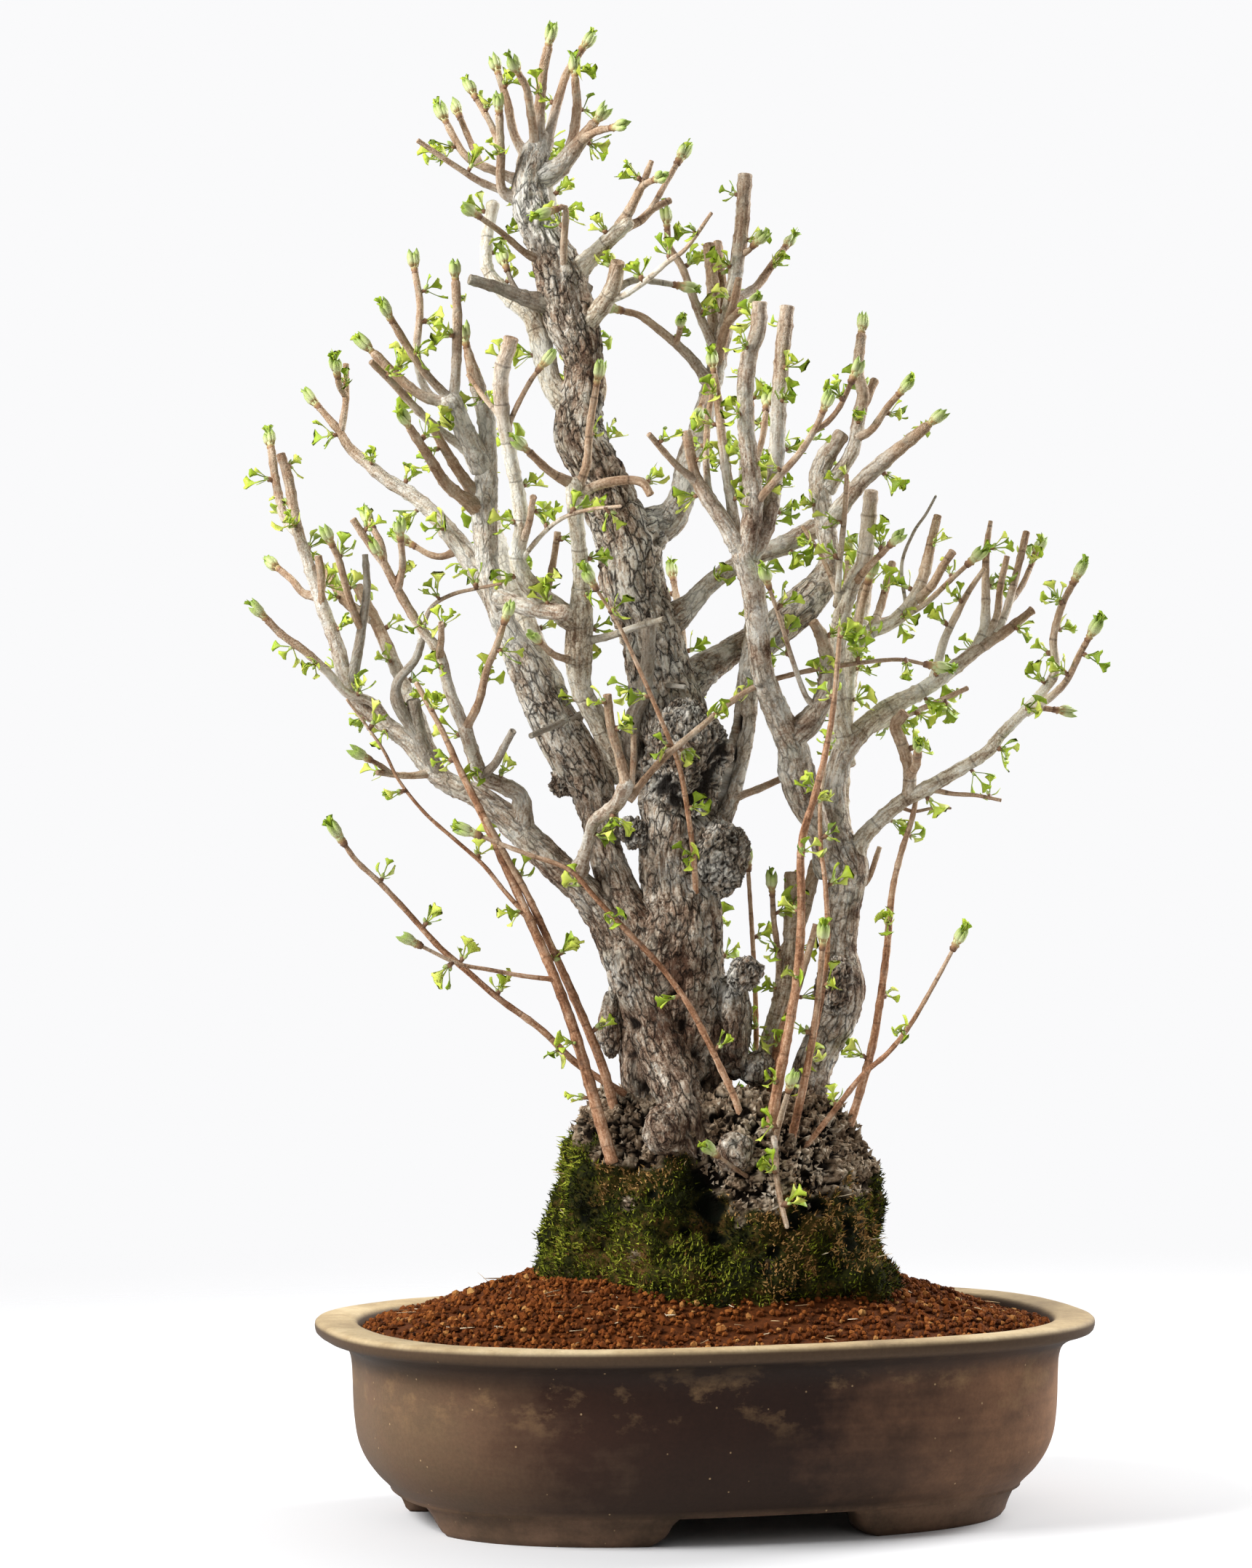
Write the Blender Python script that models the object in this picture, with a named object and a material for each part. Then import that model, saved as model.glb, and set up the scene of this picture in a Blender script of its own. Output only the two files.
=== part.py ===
"""Ginkgo bonsai in an oval unglazed pot, built at its real size.

Lengths in this file are millimetres until a mesh is made. The wood's routes are drawn on a front
elevation: (across, up) in millimetres, with a depth that grows away from the front. The pot is
turned against that elevation, and everything ends in the pot's own frame: +X along the pot,
+Y to its back, +Z up, the origin under the middle of the whole plant's box.
"""

import math
import random

import bmesh
import bpy
from mathutils import Matrix, Vector

MM = 0.001
CLEARANCE = 0.3
SLACK = 3.6
TRUNK_FLAT = math.radians(1.0)
TWIG_FLAT = math.radians(2.5)

# Front elevation of the wood
DRAWING_DISTANCE = 2800.0
DRAWING_HEIGHT = 450.0
POT_ACROSS = 50.0
POT_TURN = math.radians(16.0)
BOX_MIDDLE = (-18.4, 11.4)

# Pot
OVAL_POWER = 2.6
OVAL_SEGMENTS = 32
POT_HEIGHT = 120.0
LIP_LENGTH = 482.0
LIP_WIDTH = 334.0
LOWER_ROUNDING = 0.27
FOOT_LENGTH = 370.0
FOOT_TOP_LENGTH = 388.0
FOOT_HEIGHT = 18.0
FOOT_OVERLAP = 3.0
FOOT_THICKNESS = 14.0
FOOT_STEPS = 4
FLOOR_TOP = 28.0
ARCH_HALF_LONG = 48.0
ARCH_HALF_SHORT = 36.0
ARCH_SLANT_LONG = 24.0
ARCH_SLANT_SHORT = 14.0
DRAIN_DIAMETER = 24.0
DRAIN_ACROSS = 82.0
DRAIN_SEGMENTS = 12
SCREEN_SIZE = 44.0
SCREEN_THICKNESS = 1.2
SCREEN_BAR = 3.0
SCREEN_CELLS = 2

# Soil and root base
SOIL_EDGE = 115.0
SOIL_TOP = 149.0
SOIL_RINGS = ((0.86, 0.2), (0.64, 0.7), (0.42, 1.0))
SOIL_RIPPLE = 1.6
ROOT_SEGMENTS = 14
TRUNK_SIDES = 10

# Leaves and buds
LEAF_LENGTH = 17.0
LEAF_WIDTH = 13.0
LEAF_THICKNESS = 1.6
SPUR_SPACING = 53.0
SPUR_START = 12.0
THICKEST_LEAFY = 8.0
BUD_LENGTH = 13.0
BUD_RADIUS = 3.6
GOLDEN_ANGLE = math.radians(137.5)
LEAF_TRIES = 5
ROOM_CELL = 30.0
ROOM_STEP = 5.0
ROOM_WOOD = 1.25
LEAF_BALL = 0.52 * LEAF_WIDTH
LEAF_FOOT_BALL = 0.25 * LEAF_WIDTH
LEAF_CROWDING = 0.55
SEED = 7

CUT, BUD, JOIN, THIN = "cut", "bud", "join", "thin"

# The main trunk: (across, up, depth, radius)
TRUNK = [
    (32, 205, -5, 46), (30, 240, -6, 34), (28, 280, -5, 32), (30, 330, 0, 32), (34, 370, 0, 25),
    (30, 400, 0, 21), (32, 430, 0, 23), (30, 465, 5, 25), (26, 495, 8, 23), (21, 520, 10, 20),
    (14, 548, 10, 19), (4, 575, 8, 20), (1, 600, 8, 19), (-8, 620, 8, 17.5), (-17, 643, 6, 16),
    (-28, 665, 4, 16), (-27, 690, 2, 13), (-26, 712, 2, 12), (-34, 740, 2, 17), (-40, 765, 2, 16),
    (-49, 785, 2, 12), (-58, 805, 2, 12), (-59, 822, 2, 11), (-56, 838, 2, 10), (-52, 850, 2, 5),
]

# The root base, from inside the soil up: (up, left edge, right edge, half depth)
ROOT_BASE = [
    (78, -12, 112, 58), (112, -46, 158, 84), (138, -53, 173, 92), (160, -47, 158, 85),
    (183, -43, 155, 78), (208, -37, 149, 72), (230, -33, 142, 64), (247, -27, 130, 52),
    (262, -12, 108, 34),
]

# Burls and callus knobs: (across, up, depth, half across, half up, half deep)
BURLS = [
    (38, 466, -18, 26, 36, 20), (59, 404, -10, 17, 24, 17), (5, 421, -12, 9, 10, 9),
    (-9, 301, -14, 9, 22, 9), (74, 332, -30, 11, 11, 12), (25, 236, -62, 17, 20, 14),
    (68, 222, -66, 16, 17, 14), (82, 274, -5, 12, 12, 12), (129, 325, 4, 12, 18, 12),
    (66, 300, -4, 14, 34, 20), (-40, 451, 2, 7, 9, 7),
]

# The rest of the wood, a node to each block. A branch is (name, the branch it grows from,
# (first depth, last depth), radii, how its tip ends, route). With no first depth it starts at
# the middle of the branch that it grows from.
WOOD = {
    "trunk": [
        ("stem_right", None, (10, 22), (15, 13, 12, 12.5, 13, 10.5, 10, 11, 12, 9.5, 7.5, 7, 7), JOIN,
         [(108, 215), (111, 250), (118, 280), (130, 302), (136, 322), (133, 345), (135, 365), (137, 385),
          (138, 400), (131, 420), (129, 445), (133, 465), (140, 477)]),
        ("up_stick", "stem_right", (None, 80), (2, 1.6), CUT,
         [(140, 476), (155, 484), (182, 496), (211, 509)]),
        ("crown_fork", "trunk", (None, -5), (7, 6, 4.5, 3), BUD,
         [(-56, 826), (-42, 831), (-30, 845), (-20, 858)]),
        ("crown_low", "crown_fork", (None, -25), (2.8, 2), BUD,
         [(-28, 848), (-18, 854), (-9, 856)]),
        ("crown_bud_1", "crown_fork", (None, 10), (3.4, 2.6), BUD,
         [(-40, 833), (-33, 848), (-30, 868), (-31, 886)]),
        ("crown_bud_2", "trunk", (None, 20), (3.2, 2.2), BUD,
         [(-50, 842), (-44, 864), (-37, 888), (-28, 903)]),
        ("crown_bud_3", "trunk", (None, -10), (3.4, 2.8), BUD,
         [(-53, 843), (-53, 868), (-51, 890), (-48, 905)]),
        ("crown_bud_4", "trunk", (None, -25), (2.8, 2.2), BUD,
         [(-55, 840), (-58, 862), (-61, 880), (-65, 888)]),
        ("crown_bud_5", "trunk", (None, 15), (3, 2.2), BUD,
         [(-58, 836), (-68, 850), (-73, 872), (-78, 888)]),
        ("crown_bud_6", "trunk", (None, -20), (3, 2.4), BUD,
         [(-62, 812), (-76, 817), (-77, 840), (-78, 864)]),
        ("crown_bud_7", "crown_bud_6", (None, 0), (2.2, 1.8), BUD,
         [(-77, 842), (-83, 858), (-92, 874)]),
        ("crown_bud_8", "trunk", (None, 15), (2.8, 2), BUD,
         [(-62, 822), (-82, 830), (-98, 838), (-107, 852), (-110, 858)]),
        ("crown_bud_9", "crown_bud_8", (None, 30), (2.2, 1.8), BUD,
         [(-90, 834), (-97, 850), (-102, 862)]),
        ("crown_stick", "trunk", (None, -15), (2.6, 1.5), CUT,
         [(-62, 812), (-88, 822), (-106, 833), (-128, 848)]),
        ("crown_low_left", "trunk", (None, -30), (2.4, 1.7), BUD,
         [(-48, 772), (-62, 779), (-76, 791), (-90, 801)]),
        ("trunk_front_twig", "trunk", (None, -35), (2.6, 1.8), BUD,
         [(-38, 748), (-38, 765), (-38, 785), (-37, 806), (-42, 806)]),
        ("left_dark_arm", "trunk", (None, -15), (5, 3.2), CUT,
         [(-42, 746), (-62, 751), (-78, 757), (-95, 762)]),
        ("left_dark_bud", "left_dark_arm", (None, 0), (1.9, 1.6), BUD,
         [(-64, 751), (-70, 760), (-73, 768)]),
        ("grey_riser", "trunk", (None, -40), (5.5, 4.8, 4.4, 4.2, 4), CUT,
         [(2, 462), (4, 488), (11, 506), (14, 528), (15, 549)]),
        ("burl_twig", "trunk", (None, -35), (1.9, 1.4), CUT,
         [(16, 512), (26, 511), (37, 510)]),
        ("stem_cut", "stem_right", (None, 25), (2, 1.8), CUT,
         [(140, 385), (150, 391), (157, 410)]),
        ("droop_root", None, (-62, -86), (2, 1.4), THIN,
         [(92, 232), (94, 205), (97, 188), (100, 176)]),
        ("tiny_shoot_a", None, (-62, -88), (1.6, 1.2), BUD,
         [(80, 204), (68, 212), (57, 220)]),
        ("tiny_shoot_b", None, (-52, -79), (2, 1.6), BUD,
         [(90, 218), (96, 243), (101, 260)]),
    ],
    "limb_left": [
        ("bridge_limb", "limb_left", (None, -60), (6, 5, 5), JOIN,
         [(-80, 566), (-60, 559), (-38, 556)]),
        ("limb_left", "trunk", (None, 0), (18, 15, 11.5, 10.5, 12, 14.5, 15.5, 14, 12, 8.5, 6.8, 6.6, 7.6, 8.5),
         JOIN,
         [(14, 325), (5, 358), (-5, 386), (-12, 408), (-17, 432), (-24, 454), (-38, 478), (-50, 500),
          (-60, 520), (-70, 540), (-80, 562), (-85, 586), (-87, 612), (-88, 632)]),
        ("left_pale_top", "limb_left", (None, -5), (6, 5.5, 5.5, 4.5, 3.2, 2.2), BUD,
         [(-87, 630), (-85, 652), (-86, 675), (-92, 698), (-96, 712), (-98, 720)]),
        ("left_knob", "limb_left", (None, -20), (6.5, 6, 6.5, 7), JOIN,
         [(-88, 645), (-96, 662), (-103, 676), (-108, 686)]),
        ("left_bud_1", "left_knob", (None, -30), (3.2, 2.8), BUD,
         [(-107, 682), (-105, 705), (-104, 735), (-105, 760)]),
        ("left_bud_2", "left_knob", (None, -45), (2.8, 2.2), BUD,
         [(-105, 685), (-120, 700), (-133, 718), (-144, 736)]),
        ("left_bud_3", "left_knob", (None, 5), (2.7, 2), BUD,
         [(-106, 684), (-122, 692), (-129, 715), (-127, 745), (-130, 766)]),
        ("left_bud_4", "left_knob", (None, -25), (3.4, 2.8), BUD,
         [(-106, 685), (-125, 690), (-141, 702), (-155, 716)]),
        ("left_long", "limb_left", (None, -50), (3.2, 1.8), CUT,
         [(-90, 650), (-103, 660), (-122, 675), (-142, 696), (-157, 711)]),
        ("left_red", "limb_left", (None, -60), (4.5, 3.6, 3, 2.6), BUD,
         [(-90, 620), (-110, 635), (-122, 653), (-133, 670)]),
        ("left_red_2", "limb_left", (None, -30), (3.6, 2.6), CUT,
         [(-92, 628), (-104, 645), (-112, 658), (-119, 670)]),
        ("limb_left_back", "limb_left", (None, 40), (8, 7, 6.2, 5, 4.5, 4, 3.5, 3, 2.5, 2.1), BUD,
         [(-76, 557.5), (-95, 587.5), (-108, 604.5), (-119, 617.5), (-133, 629.5), (-148, 638.5), (-161,
          649.5), (-171, 658.5), (-178, 669.5), (-189, 682.5)]),
        ("back_stub", "limb_left_back", (None, 45), (2.3, 1.9), CUT,
         [(-176, 668), (-173, 688), (-173, 709)]),
        ("back_bud", "back_stub", (None, 30), (2.2, 1.9), BUD,
         [(-173, 690), (-177, 697), (-178, 702)]),
        ("back_pale", "limb_left_back", (None, 15), (2.4, 1.8), BUD,
         [(-100, 597), (-112, 591), (-121, 592), (-130, 597)]),
        ("grey_stick", "limb_left", (None, -40), (2.4, 1.8), CUT,
         [(-28, 492), (-42, 487), (-58, 480)]),
    ],
    "limb_low": [
        ("limb_low", "trunk", (None, -15), (16, 13, 11, 9.5, 9, 8.5, 7.5, 6.4, 6), JOIN,
         [(16, 325), (-6, 358), (-23, 381), (-41, 398), (-60, 416), (-76, 431), (-92, 443), (-108, 450),
          (-121, 459)]),
        ("outer_left", "limb_low", (None, 5), (6, 5.6, 5, 5, 5, 4.4, 4, 3.6, 3.3, 3.1, 2.6), CUT,
         [(-119, 457), (-133, 475), (-150, 488), (-165, 501), (-174, 518), (-179, 537), (-187, 558),
          (-196, 586), (-203, 608), (-208, 636), (-213, 653)]),
        ("outer_tip", "outer_left", (None, 25), (3, 2.5), BUD,
         [(-202, 604), (-211, 615), (-216, 635), (-219, 656)]),
        ("outer_side", "outer_left", (None, 20), (2.6, 2), BUD,
         [(-190, 566), (-199, 568), (-206, 576), (-213, 582)]),
        ("outer_low", "outer_left", (None, -30), (3, 2.2), BUD,
         [(-141, 479), (-156, 500), (-171, 505), (-184, 519), (-198, 532), (-212, 542), (-221, 551)]),
        ("left_fork_grey", "outer_left", (None, -15), (3.6, 2), CUT,
         [(-170, 512), (-166, 530), (-163, 548), (-160, 570), (-161, 591)]),
        ("left_fork_red", "left_fork_grey", (None, -30), (2.5, 2), BUD,
         [(-163, 545), (-170, 562), (-177, 588), (-181, 597)]),
        ("outer_stub", "outer_left", (None, -5), (3, 2.3), CUT,
         [(-181, 545), (-188, 560), (-188, 577), (-190, 590)]),
        ("pale_inner", "limb_low", (None, 30), (5.5, 4.5, 4, 3.8, 3.2), CUT,
         [(-118, 456), (-128, 490), (-141, 520), (-152, 545), (-165, 571)]),
        ("pale_inner_2", "pale_inner", (None, 40), (3.6, 3), CUT,
         [(-155, 551), (-172, 562), (-185, 582)]),
        ("dark_stub", "limb_low", (None, -25), (5.2, 4), CUT,
         [(-115, 454), (-126, 476), (-131, 500)]),
        ("dark_arm", "dark_stub", (None, -40), (4, 4, 3, 2.6, 2.2), CUT,
         [(-126, 477), (-140, 498), (-141, 513), (-130, 527), (-124, 545)]),
        ("curl_twig", "dark_arm", (None, -65), (1.7, 1), THIN,
         [(-127, 538), (-121, 558), (-108, 567), (-92, 571), (-77, 574)]),
        ("short_arm", "limb_low", (None, -45), (6, 5.2, 4.8, 4.4, 4.4, 4.2), JOIN,
         [(-64, 424), (-65, 442), (-76, 449), (-89, 455), (-94, 468), (-99, 484)]),
        ("arm_long", "short_arm", (None, -65), (3.8, 3.6, 3.3, 3, 2.8, 2.4), BUD,
         [(-98, 481), (-109, 508), (-115, 531), (-127, 547), (-139, 567), (-150, 588)]),
        ("arm_cut", "arm_long", (None, -70), (2.4, 2.1), CUT,
         [(-147, 583), (-158, 598), (-168, 613)]),
        ("arm_bud_a", "arm_long", (None, -50), (2.2, 1.9), BUD,
         [(-149, 586), (-151, 598), (-156, 608)]),
        ("arm_bud_b", "arm_long", (None, -80), (2.2, 1.9), BUD,
         [(-141, 569), (-138, 585), (-139, 601)]),
        ("arm_stub", "arm_long", (None, -80), (2.2, 1.8), CUT,
         [(-115, 529), (-114, 540), (-114, 549)]),
        ("arm_red", "short_arm", (None, -80), (2.6, 1.9), BUD,
         [(-99, 484), (-91, 500), (-86, 520), (-80, 535), (-75, 550)]),
        ("arm_dark", "short_arm", (None, -60), (2.8, 2.2), CUT,
         [(-89, 455), (-81, 462), (-75, 473), (-70, 482)]),
        ("low_left_twig", "limb_low", (None, -40), (2.4, 1.8), CUT,
         [(-119, 457), (-134, 455), (-153, 457)]),
        ("low_left_spur", "low_left_twig", (None, -45), (1.8, 1.5), BUD,
         [(-144, 456), (-151, 461), (-158, 465)]),
        ("elbow", "limb_low", (None, -70), (5, 3.4, 3.6, 4.4, 4.4), JOIN,
         [(-30, 392), (-24, 411), (-19, 427), (-6, 437), (1, 450)]),
        ("elbow_cut", "elbow", (None, -80), (3, 2.6), CUT,
         [(1, 449), (-4, 468), (-9, 486), (-11, 504)]),
        ("elbow_side", "elbow", (None, -75), (2, 1.7), CUT,
         [(3, 448), (5, 465), (5, 480)]),
        ("cross_shoot", "elbow", (None, -25), (2.5, 1.2), BUD,
         [(2, 440), (20, 462), (45, 484), (76, 508), (104, 518), (138, 524), (168, 527), (186, 524)]),
    ],
    "middle": [
        ("middle", "trunk", (None, -65), (8, 7, 6.5, 8.5, 8, 5.5, 4.5, 5, 5), JOIN,
         [(2, 455), (-14, 485), (-27, 508), (-29, 530), (-28, 550), (-27, 575), (-29, 600), (-31, 620),
          (-32, 635)]),
        ("middle_red", "middle", (None, -70), (2.8, 2), BUD,
         [(-31, 630), (-24, 648), (-22, 672), (-18, 696)]),
        ("middle_left", "middle", (None, -80), (2.8, 2.2), BUD,
         [(-33, 636), (-46, 643), (-59, 655)]),
        ("middle_shelf", "middle", (None, -70), (3, 2.4), CUT,
         [(-31, 628), (-17, 635), (-2, 638), (10, 637), (15, 630)]),
        ("post_left", "middle", (None, -85), (6.5, 6, 5.6, 5, 4.6, 4.4, 4, 4.2, 4.6, 4.2), CUT,
         [(-29, 548), (-46, 561), (-60, 574), (-67, 589), (-64, 608), (-66, 628), (-71, 652), (-76, 680),
          (-77, 702), (-71, 724)]),
        ("post_left_stub", "post_left", (None, -100), (2.3, 1.9), CUT,
         [(-65, 596), (-60, 610), (-57, 627)]),
        ("post_left_curl", "post_left", (None, -110), (1.7, 1), THIN,
         [(-65, 588), (-51, 605), (-38, 615), (-22, 620), (-3, 622)]),
        ("post_left_fork", "post_left", (None, -80), (1.9, 1.5), BUD,
         [(-74, 668), (-67, 684), (-59, 699), (-54, 706)]),
        ("pale_stub", "post_left", (None, -40), (2.3, 2), CUT,
         [(-50, 564), (-45, 585), (-42, 605)]),
        ("middle_stick", "middle", (None, -80), (2.5, 1.8), CUT,
         [(-28, 538), (-12, 541), (6, 547), (23, 552)]),
        ("middle_spur", "middle", (None, -70), (2.3, 1.9), BUD,
         [(-31, 526), (-44, 530), (-53, 538)]),
        ("left_thin_cross", "post_left", (None, -45), (1.9, 1.5), CUT,
         [(-76, 676), (-88, 690), (-97, 703)]),
    ],
    "right_column": [
        ("right_column", "trunk", (None, 30), (12, 10, 8, 7, 7.5, 9.5, 11, 12, 9), JOIN,
         [(40, 415), (58, 435), (67, 460), (73, 485), (76, 510), (82, 533), (96, 548), (110, 561), (123,
          575)]),
        ("back_right_limb", "trunk", (None, 60), (11, 10, 9, 8.5, 8), JOIN,
         [(28, 500), (45, 518), (58, 527), (72, 536), (90, 545)]),
        ("arch_right", "trunk", (None, 40), (8, 6.5, 5.6, 5.4, 5.6, 6, 6), JOIN,
         [(20, 545), (40, 561), (50, 572), (62, 581), (78, 590), (98, 598), (117, 608)]),
        ("crown_right", "right_column", (None, 40), (7, 6, 6.2, 6.5, 6, 4.5), CUT,
         [(118, 570), (126, 588), (124, 610), (120, 635), (123, 650), (133, 665)]),
        ("crown_right_tip", "crown_right", (None, 15), (6, 5, 5, 5, 4, 3.4, 3), BUD,
         [(122, 607), (134, 622), (146, 637), (157, 647), (170, 658), (180, 666), (186, 671)]),
        ("crown_right_up", "crown_right", (None, 45), (4.5, 4.2, 4, 3.8, 3.4, 3), BUD,
         [(124, 632), (140, 655), (145, 680), (147, 692), (144, 706), (146, 727)]),
        ("crown_right_up2", "crown_right_up", (None, 50), (2.8, 2.6), CUT,
         [(146, 684), (150, 690), (154, 699)]),
        ("crown_right_side", "crown_right_up", (None, 15), (2.6, 2), BUD,
         [(142, 664), (152, 669), (162, 683), (169, 691)]),
        ("back_stick", "right_column", (None, 15), (2.4, 2), CUT,
         [(62, 440), (80, 446), (96, 453), (106, 457)]),
    ],
    "fork_limb": [
        ("fork_limb", "trunk", (None, 45), (14, 11, 9.5, 8, 7.5, 6.5, 6, 5.5, 5), JOIN,
         [(2, 598), (16, 608), (28, 615), (36, 630), (39, 650), (46, 670), (52, 692), (57, 712), (58,
          725)]),
        ("tall_post", "fork_limb", (None, 50), (5, 4.6, 4.6, 4.5, 4.4), CUT,
         [(57, 712), (63, 738), (68, 765), (72, 795), (74, 825)]),
        ("tall_side", "tall_post", (None, 40), (1.9, 1.5), BUD,
         [(71, 778), (76, 780), (79, 783)]),
        ("tall_left", "fork_limb", (None, 65), (4.4, 3.8), CUT,
         [(56, 708), (55, 735), (54, 760), (52, 782)]),
        ("tall_back", "fork_limb", (None, 80), (3.6, 3), CUT,
         [(57, 716), (60, 745), (59, 765), (57, 784)]),
        ("red_post", "fork_limb", (None, 20), (3.4, 2.3), CUT,
         [(56, 706), (61, 728), (67, 747), (70, 762)]),
        ("red_bud", "red_post", (None, 5), (2.6, 2.2), BUD,
         [(63, 736), (70, 742), (76, 747)]),
        ("right_reach", "tall_post", (None, 80), (3, 2.1), BUD,
         [(66, 750), (80, 757), (90, 770), (98, 781)]),
        ("pale_reach", "fork_limb", (None, 5), (3.6, 1.9), BUD,
         [(53, 697), (42, 712), (32, 722), (20, 732), (9, 740), (-2, 743)]),
        ("pale_reach_bud", "pale_reach", (None, 0), (1.9, 1.6), BUD,
         [(31, 723), (33, 728), (34, 733)]),
        ("pale_up", "fork_limb", (None, 30), (3, 1.9), BUD,
         [(57, 715), (47, 738), (41, 754), (35, 770), (27, 783), (26, 793)]),
        ("small_bud_right", "fork_limb", (None, 15), (2.2, 1.8), BUD,
         [(55, 703), (49, 690), (47, 684)]),
    ],
    "shelf_right": [
        ("shelf_right", "trunk", (None, -20), (6, 5, 4.6, 4.4), JOIN,
         [(-36, 762), (-22, 775), (-10, 787), (1, 797)]),
        ("shelf_up", "shelf_right", (None, -30), (3.6, 1.6), CUT,
         [(-4, 793), (3, 806), (11, 822), (16, 835)]),
        ("shelf_up_bud", "shelf_up", (None, -45), (2.2, 1.9), BUD,
         [(9, 818), (13, 822), (18, 824)]),
        ("shelf_out", "shelf_right", (None, -5), (3, 2), CUT,
         [(-2, 795), (8, 798), (17, 806), (27, 811)]),
        ("shelf_far", "shelf_out", (None, 5), (2.1, 1.8), BUD,
         [(15, 804), (24, 820), (32, 834)]),
    ],
    "knee_right": [
        ("knee_right", "trunk", (None, -25), (6.5, 5.5, 5, 4.2), CUT,
         [(-32, 730), (-17, 743), (-8, 757), (-5, 771)]),
        ("long_cross", "knee_right", (None, -60), (2.4, 1.2), CUT,
         [(-12, 750), (-2, 752), (12, 761), (26, 773), (38, 782), (53, 803)]),
        ("dark_spur", "knee_right", (None, 0), (2.4, 1.8), BUD,
         [(-8, 756), (6, 762), (18, 761), (30, 759)]),
    ],
    "pale_loop": [
        ("pale_loop", "trunk", (None, 25), (7, 6.5, 7, 6, 5, 4, 3.6, 4), JOIN,
         [(-30, 680), (-45, 697), (-50, 715), (-57, 738), (-74, 754), (-85, 768), (-86, 785), (-82,
          808)]),
    ],
    "front_right": [
        ("front_right", "stem_right", (None, -80), (8, 7, 8, 10.5, 11, 9.5, 7.8, 7, 6.8, 6.6, 6.6), JOIN,
         [(128, 396), (122, 413), (117, 427), (111, 441), (106, 457), (103, 474), (93, 496), (85, 519),
          (82, 546), (79, 570), (73, 592)]),
        ("front_right_b", "front_right", (None, -45), (8, 7, 5.5, 4.8, 4, 3.2), CUT,
         [(102, 478), (115, 490), (123, 505), (125, 525), (122, 540), (117, 549)]),
        ("front_twig", "front_right_b", (None, -80), (2, 1.4), BUD,
         [(119, 498), (112, 504), (104, 525), (97, 548), (89, 572)]),
        ("post_1", "front_right", (None, -100), (7, 6.2, 5.4, 5, 4.8, 4.6, 4.4), CUT,
         [(74, 590), (79, 620), (77, 650), (74, 682), (76, 712), (82, 730), (83, 746)]),
        ("post_2", "front_right", (None, -60), (5.5, 5, 4.8, 4.6, 4.6, 4.4), CUT,
         [(77, 590), (88, 612), (93, 645), (95, 685), (97, 715), (100, 743)]),
        ("fork_left", "front_right", (None, -90), (6.5, 5, 4.4, 3.2, 2.8), CUT,
         [(74, 590), (61, 612), (49, 630), (43, 642), (38, 667)]),
        ("fork_left_twig", "fork_left", (None, -110), (2.4, 1.7), CUT,
         [(44, 637), (31, 648), (15, 666)]),
        ("fork_mid", "front_right", (None, -70), (4, 1.8), BUD,
         [(70, 594), (66, 622), (61, 655), (57, 690), (55, 704)]),
        ("fork_thin", "fork_left", (None, -60), (2.2, 1.6), CUT,
         [(52, 626), (50, 650), (51, 675), (54, 694)]),
        ("post_side", "post_2", (None, -25), (2.2, 1.8), BUD,
         [(83, 602), (80, 640), (85, 665), (87, 681)]),
        ("long_red", "post_1", (None, -125), (2.4, 1.8), BUD,
         [(79, 622), (93, 638), (108, 655), (118, 671), (122, 680)]),
        ("long_red_fork", "long_red", (None, -115), (2, 1.7), BUD,
         [(116, 668), (125, 674), (133, 684), (140, 699)]),
    ],
    "limb_right_up": [
        ("limb_right_up", "stem_right", (None, 50), (7, 6.5, 6, 5, 4.5, 4, 3.2, 2.5), CUT,
         [(138, 474), (150, 487), (165, 498), (182, 507), (201, 520), (220, 535), (236, 545), (251,
          557)]),
        ("up_twig_1", "limb_right_up", (None, 30), (3, 1.5), CUT,
         [(191, 514), (197, 538), (206, 557), (213, 570), (222, 583)]),
        ("up_twig_2", "limb_right_up", (None, 60), (3.8, 1.4), CUT,
         [(216, 532), (222, 545), (223, 560), (223, 585), (224, 600), (226, 612)]),
        ("up_twig_3", "limb_right_up", (None, 45), (2.4, 2), CUT,
         [(224, 541), (230, 555), (232, 572), (236, 590)]),
        ("up_twig_4", "limb_right_up", (None, 70), (2.6, 2.2), CUT,
         [(229, 543), (236, 558), (244, 588), (248, 605)]),
        ("up_twig_5", "up_twig_4", (None, 80), (2, 1.7), BUD,
         [(236, 560), (245, 572), (253, 590)]),
    ],
    "limb_right_low": [
        ("limb_right_low", "stem_right", (None, -15), (7.5, 5.4, 4.6, 4.6, 4.6, 4, 3.8, 3.4, 3.1, 2.9, 2.8,
         2.4, 2.2, 2), BUD,
         [(138, 396), (146, 415), (157, 427), (171, 439), (186, 447), (205, 458), (224, 470), (233, 481),
          (247, 495), (259, 508), (266, 520), (265, 540), (270, 560), (277, 574)]),
        ("low_tip", "limb_right_low", (None, -30), (2.6, 1.8), BUD,
         [(248, 494), (262, 503), (273, 514), (281, 530), (286, 539)]),
        ("low_spur", "limb_right_low", (None, 5), (2.2, 1.6), BUD,
         [(249, 496), (257, 497), (265, 496)]),
        ("low_stub", "limb_right_low", (None, -5), (4, 3.4), CUT,
         [(175, 442), (176, 458), (171, 475), (167, 486), (172, 493)]),
        ("low_big_bud", "low_stub", (None, -30), (2.8, 2.6), BUD,
         [(176, 455), (180, 462), (181, 470)]),
        ("low_cut_twig", "limb_right_low", (None, 0), (1.8, 1.2), CUT,
         [(188, 447), (202, 444), (217, 443), (232, 440)]),
        ("low_thin_twig", "limb_right_low", (None, 15), (1.4, 0.9), THIN,
         [(168, 437), (178, 433), (190, 435), (201, 435)]),
    ],
    "mid_limb": [
        ("mid_limb", "stem_right", (None, 50), (6, 5.5, 5, 4.6, 4.3, 4, 3.6, 3, 2.6), CUT,
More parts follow.
